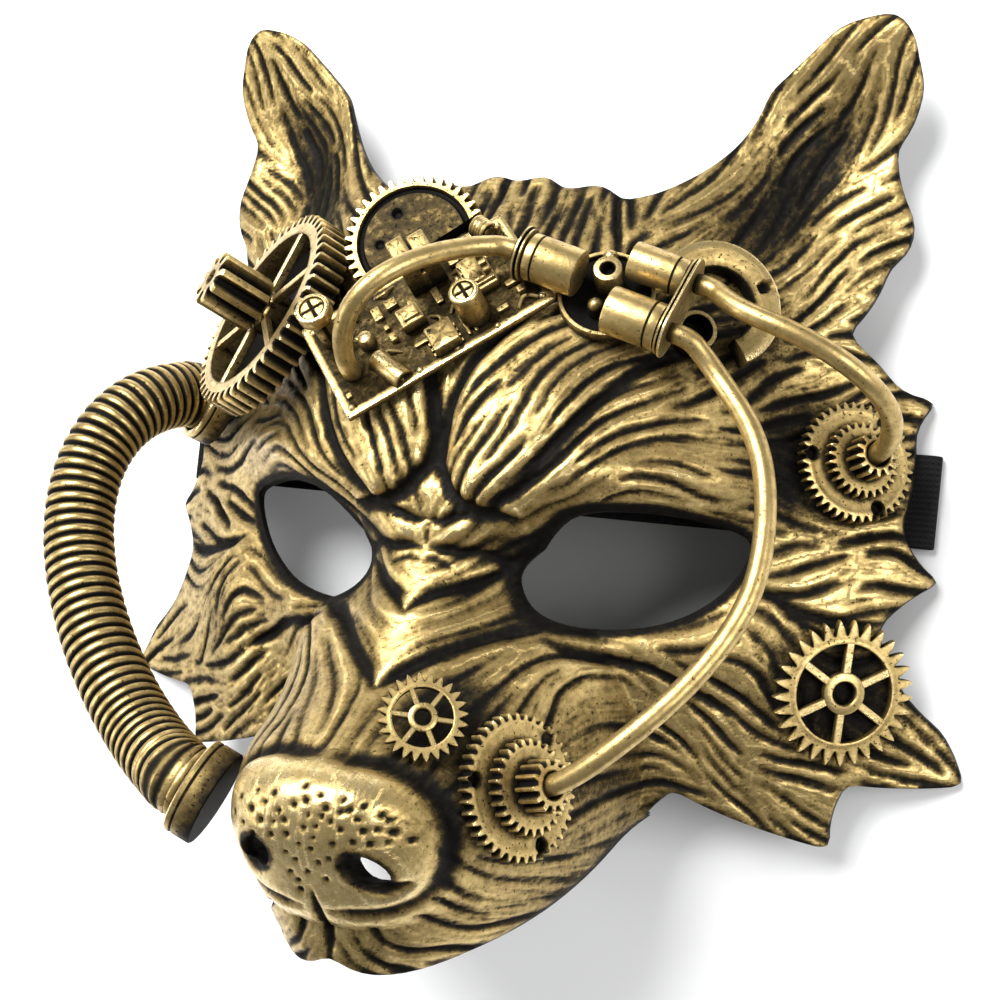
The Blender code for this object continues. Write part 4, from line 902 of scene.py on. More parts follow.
def faceGrid(loops):
    # grid over the face, closer at the eyes and the muzzle and wider at the ears and the temples
    xs = warpedSteps(-105, 105, face["step"], lambda x: 1 + 0.30 * np.exp(-((np.abs(x) - 34) / 9)**2)
                     - 0.16 * easyStep(np.abs(x), 52, 90))
    ys = warpedSteps(-85.5, 120, face["step"], lambda y: 1 + 0.25 * np.exp(-((y + 76) / 9)**2)
                     - 0.16 * easyStep(y, 50, 90))
    return FaceGrid(xs, ys, loops)


def furRelief(grid, height):
    # depth (crest - cut groove + lip), groove = strength (1 - d/reach)^3, its lip on one side or the
    # other standing up; then finer strands, made the same way
    flow = Flow()
    _, _, depth = flow.at(grid.x, grid.y)
    share, line, along, across, strength = grooves(grid, height, flow, fur["lockLength"], 1.0)
    groove = strength * (1 - share)**3.0
    lip = strength * np.tanh(across / 0.5) * (1 - share)**1.5
    relief = depth * (fur["crest"] - fur["cut"] * groove + fur["lip"] * lip * np.where(line % 2, 1, -1))
    share, _, _, _, strength = grooves(grid, height, flow, fur["strandLength"], fur["strandShare"])
    thread = strength * (1 - share)**1.6
    relief = relief - fur["strandDepth"] * easyStep(depth, 0.3, 0.8) * thread
    strand = np.stack((across, along * fur["sample"], line), axis=-1)
    return relief, depth, groove, thread, strand


def maskFace():
    # the face's height raised by fur, swells, creases and pits along its normal, and carried down
    # round its rims to the back
    loops = faceLoops()
    grid = faceGrid(loops)
    height = frontHeight(grid.x, grid.y)
    nose = easyStep(noseShare(grid.x, grid.y), 0.0, 0.10)
    eyeRim = 1 - easyStep(awayFrom(grid, loops[1:3]), *rubbingAndShade["eyeReach"])
    holeRim = 1 - easyStep(awayFrom(grid, loops[3:]), *rubbingAndShade["holeReach"])
    edgeAway = awayFrom(grid, loops[:1])
    relief, depth, groove, thread, strand = furRelief(grid, height)

    furry = (1 - nose) * (1 - eyeRim)
    relief = relief * furry
    crease = creaseDepth(grid, fur["creases"])
    widths = rng.uniform(*fur["pitWidths"], len(fur["pits"]))
    pits = [(w, fur["pitDepth"], ((x, y), (x + 0.1, y))) for (x, y), w in zip(fur["pits"], widths)]
    pits = creaseDepth(grid, pits, False) * nose
    for x, y, wide, high, turn, up in fur["swells"]:
        relief = relief + up * poolShare(grid.x, grid.y, ((x, y, wide, high, turn, 1.0),))
    relief = relief - crease - pits
    relief = np.clip(relief, fur["deepest"], fur["highest"]) - eyeRim * rubbingAndShade["eyeSunk"]
    near = np.minimum(1, 1.15 - poolShare(grid.x, grid.y, fur["seats"]))
    relief = np.where(relief > 0, relief * near, relief)

    # moved along the normal, less at the outline, and never through to the back
    rise = np.stack(np.gradient(height, grid.ys, grid.xs)[::-1])
    lean = np.sqrt(1 + (rise**2).sum(axis=0))
    normal = np.stack((-rise[0] / lean, -rise[1] / lean, 1 / lean), axis=-1)
    relief = np.maximum(relief, -np.maximum(height - backHeight(grid.x, grid.y) - 1.0, 0) / lean)
    moved = normal * (relief * easyStep(edgeAway, 0.0, 1.2))[..., None]
    points = np.stack((grid.x, grid.y, height), axis=-1) + moved
    points[..., 2] = np.maximum(points[..., 2], 0.02)

    # wear and painted shade: bright crests, black grooves, black pools and rims, with painted shade in the
    # pools and round the pieces
    cavity = relief - blurred(relief, 3.2)
    rubAndShade = rubbingAndShade
    deep = np.clip(depth / 0.8, 0.3, 1.1)
    dark = rubAndShade["groove"] * np.clip(groove, 0, 1)**0.8 + rubAndShade["strand"] * thread
    wear = rubAndShade["plain"] - furry * deep * dark + np.clip(cavity, -0.6, 0.5) * rubAndShade["crest"]
    wear = wear + nose * rubAndShade["nose"] - np.minimum(crease, 1.2) * rubAndShade["crease"] - pits * rubAndShade["pit"]
    wear = wear - eyeRim * rubAndShade["eyeRim"] - easyStep(eyeRim, 0.55, 1.0) * rubAndShade["eyeEdge"]
    wear = wear - holeRim * rubAndShade["holeRim"] - poolShare(grid.x, grid.y, fur["pools"]) * rubAndShade["pool"]
    oneSide = np.where(grid.x > 0, grid.x, 400)   # far from any shade on the other half
    # painted shade round the pieces standing on the face
    wear = wear - poolShare(oneSide, grid.y, fur["shades"]) * rubAndShade["pool"]
    wear = wear - (1 - easyStep(edgeAway, 0.2, 1.4)) * rubAndShade["outline"]
    wear = np.clip(wear - easyStep(lean, 2.0, 5.0) * rubAndShade["steep"], 0, 1)

    # two rows of quads from each rim of the front round to the back
    front = points.reshape(-1, 3)[grid.used]
    rim = grid.packed(grid.rim)
    ring, order = np.unique(rim, return_inverse=True)
    order = order.reshape(rim.shape)
    back = front[ring].copy()
    bottom = backHeight(back[:, 0], back[:, 1])
    middle = back.copy()
    middle[:, 2] = np.maximum(0.45 * front[ring, 2] + 0.55 * bottom, 0.0)
    back[:, 2] = np.minimum(bottom + 0.05, front[ring, 2])
    total, count = len(front), len(ring)
    walls = [np.stack((top[:, 1], top[:, 0], under[:, 0], under[:, 1]), axis=1)
             for top, under in ((rim, order + total), (order + total, order + total + count))]
    strand = strand.reshape(-1, 3)[grid.used]
    strand = np.vstack((strand, strand[ring], strand[ring]))
    tone = wear.ravel()[grid.used]
    tone = np.concatenate((tone, tone[ring] * 0.55 + 0.02, np.full(count, 0.10)))
    part = (np.vstack((front, middle, back)), [grid.packed(grid.quads)] + walls, tone)
    addPiece("maskFace", part, furGold, ("face_shell",), closed=False,
             extra={"strand": strand}, sharp=0)


# step of its grid, gap to the outline, thickness and depth under the front
liner = {"step": 1.7, "inset": 0.25, "thick": 0.6, "under": 0.5}


def maskInside():
    # thin black liner just under the wall, closed front to back
    xs, ys = np.arange(-104, 104.1, liner["step"]), np.arange(-84.5, 119.1, liner["step"])
    grid = FaceGrid(xs, ys, faceLoops(inset=liner["inset"]))
    x, y = grid.x.ravel()[grid.used], grid.y.ravel()[grid.used]
    low = backHeight(x, y)
    top = np.minimum(low + liner["thick"], np.maximum(frontHeight(x, y) - liner["under"], low + 0.1))
    quads, rim = grid.packed(grid.quads), grid.packed(grid.rim)
    total = len(x)
    points = np.vstack((np.stack((x, y, top), axis=1), np.stack((x, y, low), axis=1)))
    walls = np.stack((rim[:, 1], rim[:, 0], rim[:, 0] + total, rim[:, 1] + total), axis=1)
    part = (points, [quads, quads[:, ::-1] + total, walls], np.full(2 * total, 0.1))
    addPiece("maskInside", part, insideBlack(), (), closed=False, sharp=0)


def insideBlack():
    # black moulded plastic with a faint brushed unevenness
    make = Finish("inside black", Metallic=0.0, Specular_IOR_Level=0.2)
    spot = make.spot()
    patch, grain = make.noise(spot, 60.0, 4.0), make.noise(spot, 1500.0, 2.0)
    return make.surface(
        Base_Color=make.ramp(patch, ((0.3, (0.008, 0.0075, 0.007)), (0.7, (0.022, 0.019, 0.015)))),
        Roughness=0.42 + patch * 0.2,
        Normal=make.bump(grain + patch * 2.0, 0.0002, 0.5))


# Seats: where each piece of the solids stands, read from its node

def turnOf(heading, tilt, spin):
    # heading and tilt aim the piece's axis and spin turns it on that axis
    turn = Matrix.Rotation(radians(heading), 3, "Z") @ Matrix.Rotation(radians(tilt), 3, "Y")
    return np.array(turn @ Matrix.Rotation(radians(spin - heading), 3, "Z"))


def nodePoints(node):
    # a solid's corners in millimetres in the face's own frame
    mesh = cadNodes[node].data
    points = np.empty(len(mesh.vertices) * 3, np.float32)
    mesh.vertices.foreach_get("co", points)
    return points.reshape(-1, 3).astype(float) * 1000 - rowShift


def seatOf(node, stand, radius=None, shift=(0.0, 0.0)):
    # frame at the foot of a node; radius finds the centre of an open ring from its far sides, and
    # below 0 that of a disc cut along a chord from its far side
    turn = turnOf(*stand)
    local = nodePoints(node) @ turn
    low, high = local.min(axis=0), local.max(axis=0)
    middle = (low + high) / 2
    if radius:
        middle[:2] = high[:2] - radius if radius > 0 else (middle[0], high[1] + radius)
    return turn, turn @ np.array((middle[0] - shift[0], middle[1] - shift[1], low[2]))


def stepped(frameOf, height, across=0.0, along=0.0):
    # the same frame moved along its own axes
    turn, origin = frameOf
    return turn, origin + turn @ np.array((across, along, height))


# heading, tilt and spin of each piece
stands = {
    "crown": (147, 42, 0), "disc": (50, 18, 41), "board": (84, 24, 41), "valve": (60, 26, -15),
    "ringCup": (20, 38, 0), "collar": (25, 36, 0), "temple": (16, 40, 0), "cheek": (-9, 35, 0),
    "bridge": (40, 33, 0), "muzzle": (14, 66, 0), "hoseFoot": (155, 74, 0), "hoseHead": (155, 42, 0),
}


# Turned, toothed and flat shapes

def swept(profile, sides):
    # (r cos a, r sin a, z) for each (r, z) of the profile
    profile, angle = np.asarray(profile, float), fullTurn(sides)
    return np.stack((profile[:, :1] * np.cos(angle), profile[:, :1] * np.sin(angle),
                     np.repeat(profile[:, 1:2], sides, axis=1)), axis=-1)


def turned(profile, wear, sides):
    # a profile turned round the axis and closed at both ends
    return loft(swept(profile, sides), np.asarray(wear, float)[:, None])


def ringOf(profile, wear, sides):
    # a closed profile turned round the axis, such as a pipe's end or a hub
    return closedRows(swept(profile, sides), np.asarray(wear, float)[:, None])


def toothWave(angle, teeth, top, flank):
    # 1 on a tooth's top, 0 in the gap, a straight flank between; top and flank share the pitch
    phase = np.abs((angle * teeth / (2 * pi) + 0.5) % 1 - 0.5)
    return np.clip(1 - (phase - top / 2) / flank, 0, 1)


def toothedBody(radius, depth, width, teeth, top, flank, inner, lip, relief, samples, rows):
    # cross section (r, z) swept round, its outer rows pushed out by the tooth wave; relief(r, a)
    # gives how far the upper face is lowered and what is added to its wear, painted shade included
    count = teeth * samples
    angle = fullTurn(count)
    root = radius - depth
    lid = np.linspace(root - 0.35, max(inner, 0.02), rows)
    section = [(max(inner, 0.02), 0, 0), (root - 0.4, 0, 0), (root - lip, 0, 1), (root, lip, 1),
               (root, width / 2, 1), (root, width - lip, 1), (root - lip, width, 1)]
    r = np.array([row[0] for row in section] + list(lid))
    z = np.array([row[1] for row in section] + [width] * rows)
    push = np.array([row[2] for row in section] + [0] * rows)
    wave = toothWave(angle, teeth, top, flank)
    radii = r[:, None] + push[:, None] * wave * depth
    heights = np.repeat(z[:, None], count, axis=1)
    wear = np.full(radii.shape, 0.66)
    wear[2:7] = 0.10 + 0.72 * wave
    wear[2:5] -= 0.12
    wear[6] = 0.30 + 0.62 * wave
    wear[7] = 0.72
    wear[0:2] = 0.3
    low, tone = relief(lid[:, None], angle[None, :])
    heights[7:] = width - low
    wear[7:] = np.clip(wear[7:] + tone, 0, 1)
    rings = np.stack((radii * np.cos(angle), radii * np.sin(angle), heights), axis=-1)
    return closedRows(rings, wear) if inner else loft(rings, wear)


def dimples(spots):
    # relief of round holes (x, y, radius, depth) sunk into a face
    rim = 0.22

    def relief(r, a):
        x, y = r * np.cos(a), r * np.sin(a)
        low, tone = np.zeros(x.shape), np.zeros(x.shape)
        for sx, sy, radius, depth in spots:
            away = np.hypot(x - sx, y - sy)
            inside = 1 - easyStep(away, radius - rim, radius + rim)
            low = np.maximum(low, depth * inside)
            tone = tone - 0.75 * inside * min(depth, 1.0) - 0.15 * np.exp(-((away - radius) / 0.5)**2)
        return low, tone
    return relief


def spokeBar(start, end, half, low, high, angle):
    # a bevelled bar from one radius to another, its section a chamfered oblong
    along = np.array((start, end))
    lip = 0.16
    section = np.array(((-half, low + lip), (-half, high - lip), (-half + lip, high), (half - lip, high),
                        (half, high - lip), (half, low + lip), (half - lip, low), (-half + lip, low)))
    rings = np.stack((np.repeat(along[:, None], 8, axis=1), np.repeat(section[None, :, 0], 2, axis=0),
                      np.repeat(section[None, :, 1], 2, axis=0)), axis=-1)
    turn = np.array(((cos(angle), sin(angle), 0), (-sin(angle), cos(angle), 0), (0, 0, 1)))
    tone = np.repeat(np.array((0.45, 0.7, 0.85, 0.85, 0.7, 0.45, 0.2, 0.2))[None], 2, axis=0)
    points, faces, wear = loft(rings, tone)
    return points @ turn, faces, wear


def plate(outline, section, wear):
    # rings of the outline drawn inwards by each inset, at each height, closed at both ends
    side = sidesOf(outline)
    rings = np.stack([np.column_stack((outline - inset * side, np.full(len(outline), z)))
                      for inset, z in section])
    return loft(rings, np.asarray(wear, float)[:, None])


def roundedOblong(wide, high, corner, x=0.0, y=0.0):
    # a quarter circle about each corner's centre
    count = 5
    turns = np.concatenate([np.linspace(k * pi / 2, (k + 1) * pi / 2, count) for k in range(4)])
    cx = np.repeat(np.array((1, -1, -1, 1)), count) * (wide / 2 - corner)
    cy = np.repeat(np.array((1, 1, -1, -1)), count) * (high / 2 - corner)
    return np.stack((x + cx + corner * np.cos(turns), y + cy + corner * np.sin(turns)), axis=1)


def block(wide, long, high, low, bevel, x=0.0, y=0.0, tone=0.68):
    # a block with rounded upper edges
    b = bevel
    section = ((0.0, low), (0.0, low + 0.3 * (high - low)), (0.0, high - b), (0.3 * b, high - 0.3 * b),
               (b, high), (min(wide, long) * 0.3, high))
    return plate(roundedOblong(wide, long, 1.4 * b, x, y), section,
                 (0.12, 0.40, tone, min(tone + 0.22, 1), tone + 0.08, tone))


def pipeAlong(path, radii, tones, sides):
    # circle of each radius carried along a path on frames that turn as little as they can: each
    # side is the last one less its share along the path
    way = waysOf(path)
    side = np.cross(way[0], (0, 0, 1))
    frames = [side / np.linalg.norm(side)]
    for direction in way[1:]:
        side = frames[-1] - direction * (frames[-1] @ direction)
        frames.append(side / np.linalg.norm(side))
    frames, angle = np.array(frames), fullTurn(sides)[:, None]
    circle = np.cos(angle) * frames[:, None] + np.sin(angle) * np.cross(frames, way)[:, None]
    return loft(path[:, None] + radii[:, None, None] * circle, tones[:, None])


def shadedAtFoot(part, reach=1.6, share=0.38):
    # painted contact shade: wear taken off near the face, darkest where the piece meets it
    points, faces, wear = part
    above = points[:, 2] - frontHeight(points[:, 0], points[:, 1])
    return points, faces, np.clip(wear - share * (1 - easyStep(above, 0.1, reach)), 0, 1)


# Gears

crown = {"radius": 24.3, "width": 7.0, "teeth": 48, "depth": 2.1, "rim": 19.3, "hub": 5.2, "spokes": 6,
         "pinion": 6.5, "splines": 9, "splineDepth": 2.5, "pinionLength": 12.8}


def crownGear():
    # toothed rim, bevelled spokes, a hub and a dark web behind them; the pinion stands on the hub
    seat = seatOf("crown_gear", stands["crown"])
    w, rim, hub, spokes = crown["width"], crown["rim"], crown["hub"], crown["spokes"]

    def rimFace(r, a):
        return 0 * r, 0.10 - 0.2 * (r < rim + 0.3)
    parts = [toothedBody(crown["radius"], crown["depth"], w, crown["teeth"], 0.30, 0.10, rim, 0.35,
                         rimFace, 10, 5)]
    parts += [spokeBar(3.5, rim + 0.5, 0.8, w - 2.2, w - 0.3, 2 * pi * (k + 0.32) / spokes)
              for k in range(spokes)]
    parts.append(turned(((0.02, 0.4), (hub, 0.4), (hub, w - 0.6), (hub - 0.5, w - 0.1), (0.02, w - 0.1)),
                        (0.1, 0.2, 0.45, 0.7, 0.4), 40))
    parts.append(turned(((0.02, 0.2), (rim + 0.6, 0.2), (rim + 0.6, 1.2), (6.0, 1.5), (0.02, 1.5)),
                        (0.0, 0.0, 0.05, 0.12, 0.05), 60))
    addPiece("crownGear", shadedAtFoot(seated(parts, seat), 2.0, 0.3), gearGold)

    def end(r, a):
        bore = 1 - easyStep(r, 1.5, 2.0)
        return 1.4 * bore, -0.6 * bore + 0.05
    body = toothedBody(crown["pinion"], crown["splineDepth"], crown["pinionLength"], crown["splines"],
                       0.34, 0.11, 0.0, 0.45, end, 24, 12)
    addPiece("crownPinion", placed(body, stepped(seat, w + 0.3)), gearGold)


disc = {"radius": 15.5, "width": 4.2, "teeth": 40, "depth": 1.7, "plate": 11.6, "chord": -3.0,
        "holes": ((0.0, 7.6, 1.0, 1.2), (-6.8, 3.4, 0.9, 0.8))}   # x, y, radius, depth


def discGear():
    # toothed rim, black groove ring and a plain plate, cut along a chord under the board
    seat = seatOf("disc_gear", stands["disc"], -disc["radius"])
    hole, plain = dimples(disc["holes"]), disc["plate"]

    def relief(r, a):
        low, tone = hole(r, a)
        gap = 1 - easyStep(np.abs(r - plain - 0.3), 0.35, 0.65)
        step = 0.5 * (1 - easyStep(r, plain, plain + 0.3))
        return low + 1.3 * gap + step, tone - 0.75 * gap - 0.26 * (r < plain)
    points, faces, wear = toothedBody(disc["radius"], disc["depth"], disc["width"], disc["teeth"], 0.20,
                                      0.26, 0.0, 0.3, relief, 8, 34)
    below = points[:, 1] < disc["chord"]
    points[below, 1] = disc["chord"]
    wear[below] = 0.1
    addPiece("discGear", shadedAtFoot(placed((points, faces, wear), seat)), gearGold)


stacks = {
    # diameters of the large, middle and small gear
    "temple": (25.6, 16.0, 9.4), "muzzle": (28.4, 18.4, 10.4),
    "teeth": (40, 26, 13), "depth": 1.15, "widths": (2.6, 2.6, 5.2), "gap": 0.3, "bore": 2.7,
    # degrees and depth of the holes in the large gear
    "holes": ((60, 0.5), (180, 2.0), (300, 2.0)), "holeRadius": 1.4,
}


def gearStack(name):
    # three gears on one axis; each face is dark where the next gear shades it
    seat = seatOf(f"{name}_gear_large", stands[name])
    wide, middle, small = (size / 2 for size in stacks[name])
    teeth, depth, widths, bore = (stacks[key] for key in ("teeth", "depth", "widths", "bore"))
    reach = (wide + middle) / 2
    holes = [(reach * cos(radians(a)), reach * sin(radians(a)), stacks["holeRadius"], d)
             for a, d in stacks["holes"]]

    def largeFace(r, a):
        low, tone = dimples(holes)(r, a)
        rim = np.exp(-((r - wide + 1.9) / 0.5)**2)
        return low - 0.12 * rim, tone + 0.08 * rim - 0.34 * (1 - easyStep(r, middle - 0.6, middle + 1.3))

    def middleFace(r, a):
        return 0 * r * a, 0 * a - 0.40 * (1 - easyStep(r, small - 0.4, small + 1.1))

    def pinionFace(r, a):
        rim = np.exp(-((r - bore - 0.5) / 0.35)**2)
        return -0.1 * rim, 0.12 * rim - 0.3 * (1 - easyStep(r, bore, bore + 0.4))
    lower = toothedBody(wide, depth, widths[0], teeth[0], 0.16, 0.26, 0.0, 0.22, largeFace, 8, 34)
    second = stepped(seat, widths[0] + stacks["gap"])
    third = stepped(second, widths[1] + stacks["gap"])
    addPiece(f"{name}GearLarge", shadedAtFoot(placed(lower, seat), 2.2, 0.3), gearGold)
    upper = toothedBody(middle, depth, widths[1], teeth[1], 0.18, 0.25, 0.0, 0.22, middleFace, 10, 16)
    addPiece(f"{name}GearMiddle", placed(upper, second), gearGold)
    pinion = toothedBody(small, depth, widths[2], teeth[2], 0.26, 0.18, bore, 0.22, pinionFace, 14, 6)
    addPiece(f"{name}Pinion", placed(pinion, third), gearGold)
    return third


spoked = {
    # radius, tooth depth, teeth, width, hub radius, bore, rim radius, spoke half width, first spoke
    "cheek": (15.25, 3.0, 29, 1.8, 4.4, 2.5, 10.4, 0.8, 88),
    "bridge": (8.65, 1.6, 24, 1.6, 2.8, 1.6, 5.8, 0.5, 62),
}


def spokedGear(name):
    # toothed rim, six bevelled spokes and a hub with a bore
    radius, depth, teeth, width, hub, bore, rim, half, first = spoked[name]
    seat = seatOf(f"{name}_gear", stands[name])

    def rimFace(r, a):
        edge = np.exp(-((r - rim - 0.3) / 0.3)**2)
        return -0.08 * edge, 0.14 * edge + 0 * a
    body = toothedBody(radius, depth, width, teeth, 0.05, 0.42, rim, 0.22, rimFace, 12, 6)
    boss = ringOf(((bore, 0.15), (hub, 0.15), (hub, width - 0.05), (hub - 0.25, width + 0.12),
                   (bore + 0.25, width + 0.12), (bore, width - 0.1)),
                  (0.1, 0.3, 0.6, 0.82, 0.78, 0.45), 40)
    spokes = [spokeBar(hub - 0.2, rim + 0.3, half, 0.2, width - 0.1, radians(first + 60 * k))
              for k in range(6)]
    addPiece(f"{name}Gear", seated([body, boss] + spokes, seat), gearGold)


# Circuit board

board = {
    "length": 49.2, "width": 26.6, "thick": 1.6, "bevel": 0.25, "corner": 0.7,
    # piece, across, along, wide, long, high
    "blocks": (
        ("chipBlock", 0.014, -0.331, 6.0, 6.2, 3.0), ("moduleBlock", 0.080, 0.300, 8.2, 6.2, 12.5),
        ("relayBox", -0.060, -0.010, 5.2, 4.8, 3.6), ("connectorBlock", 0.270, 0.020, 6.6, 8.4, 4.0)),
    # solder strips, pads, small parts and leads between the blocks: x, y, wide, long, high
    "smallParts": (
        (-12.5, -9.8, 0.8, 4.6, 0.7), (-10.9, -9.8, 0.8, 4.6, 0.7), (5.8, -8.0, 0.7, 5.6, 0.9),
        (7.4, -8.2, 0.7, 5.2, 0.8), (-3.6, -6.4, 3.4, 0.8, 0.8), (-5.2, 6.4, 2.6, 2.2, 1.3),
        (-8.8, 6.0, 2.0, 3.4, 1.0), (10.6, 7.6, 2.2, 1.6, 1.4), (8.2, -2.6, 1.6, 2.4, 1.2),
        (-8.2, -1.6, 1.5, 2.0, 1.2), (-8.4, 1.6, 1.2, 1.2, 0.9), (18.8, -4.6, 3.2, 1.4, 1.1),
        (19.4, -7.6, 1.6, 1.6, 1.5), (14.2, -9.2, 2.6, 1.2, 0.9), (-20.6, -1.6, 1.4, 1.4, 0.8),
        (-17.4, 9.8, 3.6, 1.0, 0.8), (-22.0, -8.6, 1.2, 1.2, 0.7), (4.0, 2.2, 1.6, 4.2, 1.0),
        (-1.6, 3.6, 1.2, 1.2, 1.6), (13.0, 10.6, 4.2, 0.9, 0.7), (21.4, 3.0, 1.1, 4.2, 0.9),
        (-13.2, 8.8, 1.2, 2.8, 1.1)),
    # solder points: x, y
    "solder": ((-22.4, 10.9), (22.6, 11.0), (-22.8, -11.2), (22.4, -11.0), (-15.0, 3.4), (2.0, -11.6),
               (16.8, 5.2), (11.4, -12.0), (-19.0, 4.0), (-6.8, -11.8), (9.4, 3.8)),
    # low bent wires between parts
    "wires": (
        ((-14, -5, 0.2), (-11, -4, 1.1), (-8, -5.4, 0.2)),
        ((4.6, -3.2, 0.2), (6.6, -2, 1.2), (8.6, -4.4, 0.2)),
        ((9.0, 5.6, 0.2), (11.4, 5.0, 1.4), (12.8, 2.8, 0.4)),
        ((-3.0, 10.8, 0.2), (-5.4, 9.6, 1.2), (-7.6, 10.4, 0.2)),
        ((17.0, -10.8, 0.2), (19.2, -9.6, 1.2), (21.6, -10.8, 0.2)),
        ((0.6, -1.2, 0.3), (2.2, -3.4, 1.3), (1.4, -5.2, 0.3))),
    # radius, height, stem's radius, height of the wider head
    "capacitorTall": (3.7, 12.4, 2.22, 3.0), "capacitorShort": (3.2, 9.4, 3.2, 0.0),
    # across, along as shares of the board; turn
    "pipe": (-0.272, -0.150, 19), "coil": (0.375, 0.44, 20),
    "pipeOuter": 2.28, "pipeInner": 1.4, "pipeBand": 0.12,
    "coilRadius": 2.05, "coilTurns": 5, "coilWire": 0.42,
}


def level(x, y, z):
    # an unturned frame at a place
    return np.eye(3), np.array((x, y, z))


def boardBlock(name, wide, long, high):
    # the blocks that make up one part of the board
    if name == "moduleBlock":   # a tall box with a split top and side ribs
        return [block(wide * 0.46, long, high, 0, 0.35, -wide * 0.27, 0),
                block(wide * 0.46, long, high * 0.88, 0, 0.35, wide * 0.27, 0),
                block(wide * 0.2, long * 0.8, high * 0.78, 0, 0.2, 0, 0, 0.2),
                block(wide * 0.96, long * 0.98, high * 0.42, 0, 0.4, 0, 0, 0.55)]
    if name == "connectorBlock":   # a low box with a smaller one on it and four ribs
        parts = [block(wide, long, high * 0.55, 0, 0.35),
                 block(wide * 0.62, long * 0.8, high, high * 0.4, 0.3, -wide * 0.1, 0.2)]
        return parts + [block(wide * 0.9, 0.8, high * 0.8, high * 0.4, 0.15, 0, y, 0.75)
                        for y in (-3.2, -1.0, 1.2, 3.4)]
    if name == "relayBox":   # two steps
        return [block(wide, long, high * 0.8, 0, 0.3),
                block(wide * 0.7, long * 0.62, high, high * 0.6, 0.25, 0.2, 0)]
    # a chip with four legs on each side and a round mark
    parts = [block(wide, long, high, 0.0, 0.35)]
    parts += [block(0.5, 0.7, 0.6, 0, 0.1, side * (wide / 2 + 0.2), y, 0.7)
              for side in (-1, 1) for y in (-2.2, -0.75, 0.75, 2.2)]
    mark = turned(((0.02, 0), (0.5, 0), (0.5, 0.06), (0.02, 0.08)), (0.1, 0.1, 0.3, 0.3), 12)
    return parts + [placed(mark, level(-1.9, 2.0, high - 0.02))]


def circuitBoard():
    # bevelled plate with a raised rim, its small parts, and the blocks and cans standing on it
    seat = seatOf("circuit_board", stands["board"])
    thick, length, width, b = (board[key] for key in ("thick", "length", "width", "bevel"))
    details = [plate(roundedOblong(length, width, board["corner"]),
                     ((0.3, 0.0), (0.0, 0.3), (0.0, thick - b), (0.3 * b, thick - 0.3 * b), (b, thick),
                      (1.2, thick), (1.9, thick - 0.12), (6.0, thick - 0.12), (12.0, thick - 0.12)),
                     (0.1, 0.35, 0.75, 0.95, 0.90, 0.72, 0.36, 0.44, 0.46))]
    for x, y, wide, long, high in board["smallParts"]:
        details.append(block(wide, long, thick + high, thick - 0.3, 0.18, x, y, 0.62))
    drop = turned(((0.02, 0), (0.75, 0), (0.75, 0.25), (0.45, 0.55), (0.02, 0.62)),
                  (0.1, 0.15, 0.6, 0.9, 0.9), 12)
    details += [placed(drop, level(x, y, thick - 0.15)) for x, y in board["solder"]]
    for wire in board["wires"]:
        path = smoothPath(np.array(wire) + (0, 0, thick - 0.2), 0.4)
        details.append(pipeAlong(path, np.full(len(path), 0.36), np.full(len(path), 0.72), 8))
    addPiece("circuitBoard", shadedAtFoot(seated(details, seat), 1.2, 0.25), gearGold)

    top = stepped(seat, thick + 0.3)
    for name, across, along, wide, long, high in board["blocks"]:
        spot = stepped(top, 0, across * length, along * width)
        addPiece(name, seated(boardBlock(name, wide, long, high), spot), gearGold)
    capacitor("capacitorTall")
    capacitor("capacitorShort")
    capsule = turned(((0.02, 0), (1.8, 0), (1.8, 2.2), (1.45, 3.0), (0.7, 3.35), (0.02, 3.4)),
                     (0.1, 0.2, 0.66, 0.85, 0.9, 0.9), 24)
    addPiece("capsule", placed(capsule, seatOf("capsule", stands["board"])), gearGold)
    return top


def capacitor(name):
    # turned can; its top is crossed by two grooves
    radius, high, stem, head = board[name]
    seat = seatOf(nodeOf(name), stands["board"])
    angle = fullTurn(48)
    rows = [(0.02, 0, 0.1), (stem, 0, 0.15), (stem, 0.6, 0.35), (stem, high * 0.4, 0.62)]
    if head:
        rows += [(stem, high - head - 0.2, 0.45), (stem + 0.2, high - head, 0.3),
                 (radius - 0.15, high - head, 0.5)]
    rows += [(radius, high - max(head, 2.4) + 0.25, 0.7), (radius, high - 0.4, 0.78),
             (radius - 0.2, high - 0.1, 0.98), (radius - 0.5, high, 0.95), (radius - 0.85, high, 0.8),
             (radius - 1.0, high - 0.35, 0.2), (radius - 1.15, high - 0.3, 0.5)]
    rows += [(r, high - 0.2, 0.78) for r in np.linspace(radius - 1.3, 0.02, 10)]
    r, z, tone = np.array(rows, float).T[..., None]
    x, y = r * np.cos(angle), r * np.sin(angle)
    cross = np.minimum(np.abs(x), np.abs(y))
    cut = (1 - easyStep(cross, 0.18, 0.42)) * (np.hypot(x, y) < radius - 1.25)
    rings = np.stack((x, y, z - 0.5 * cut), axis=-1)
    addPiece(name, placed(loft(rings, np.clip(tone - 0.65 * cut, 0, 1)), seat), gearGold)


def lain(frameOf, turn):
    # the same frame with its axis laid down, turned on the spot by turn degrees
    rotation, origin = frameOf
    lie = Matrix.Rotation(radians(turn), 3, "Z") @ Matrix.Rotation(radians(90), 3, "X")
    return rotation @ np.array(lie), origin


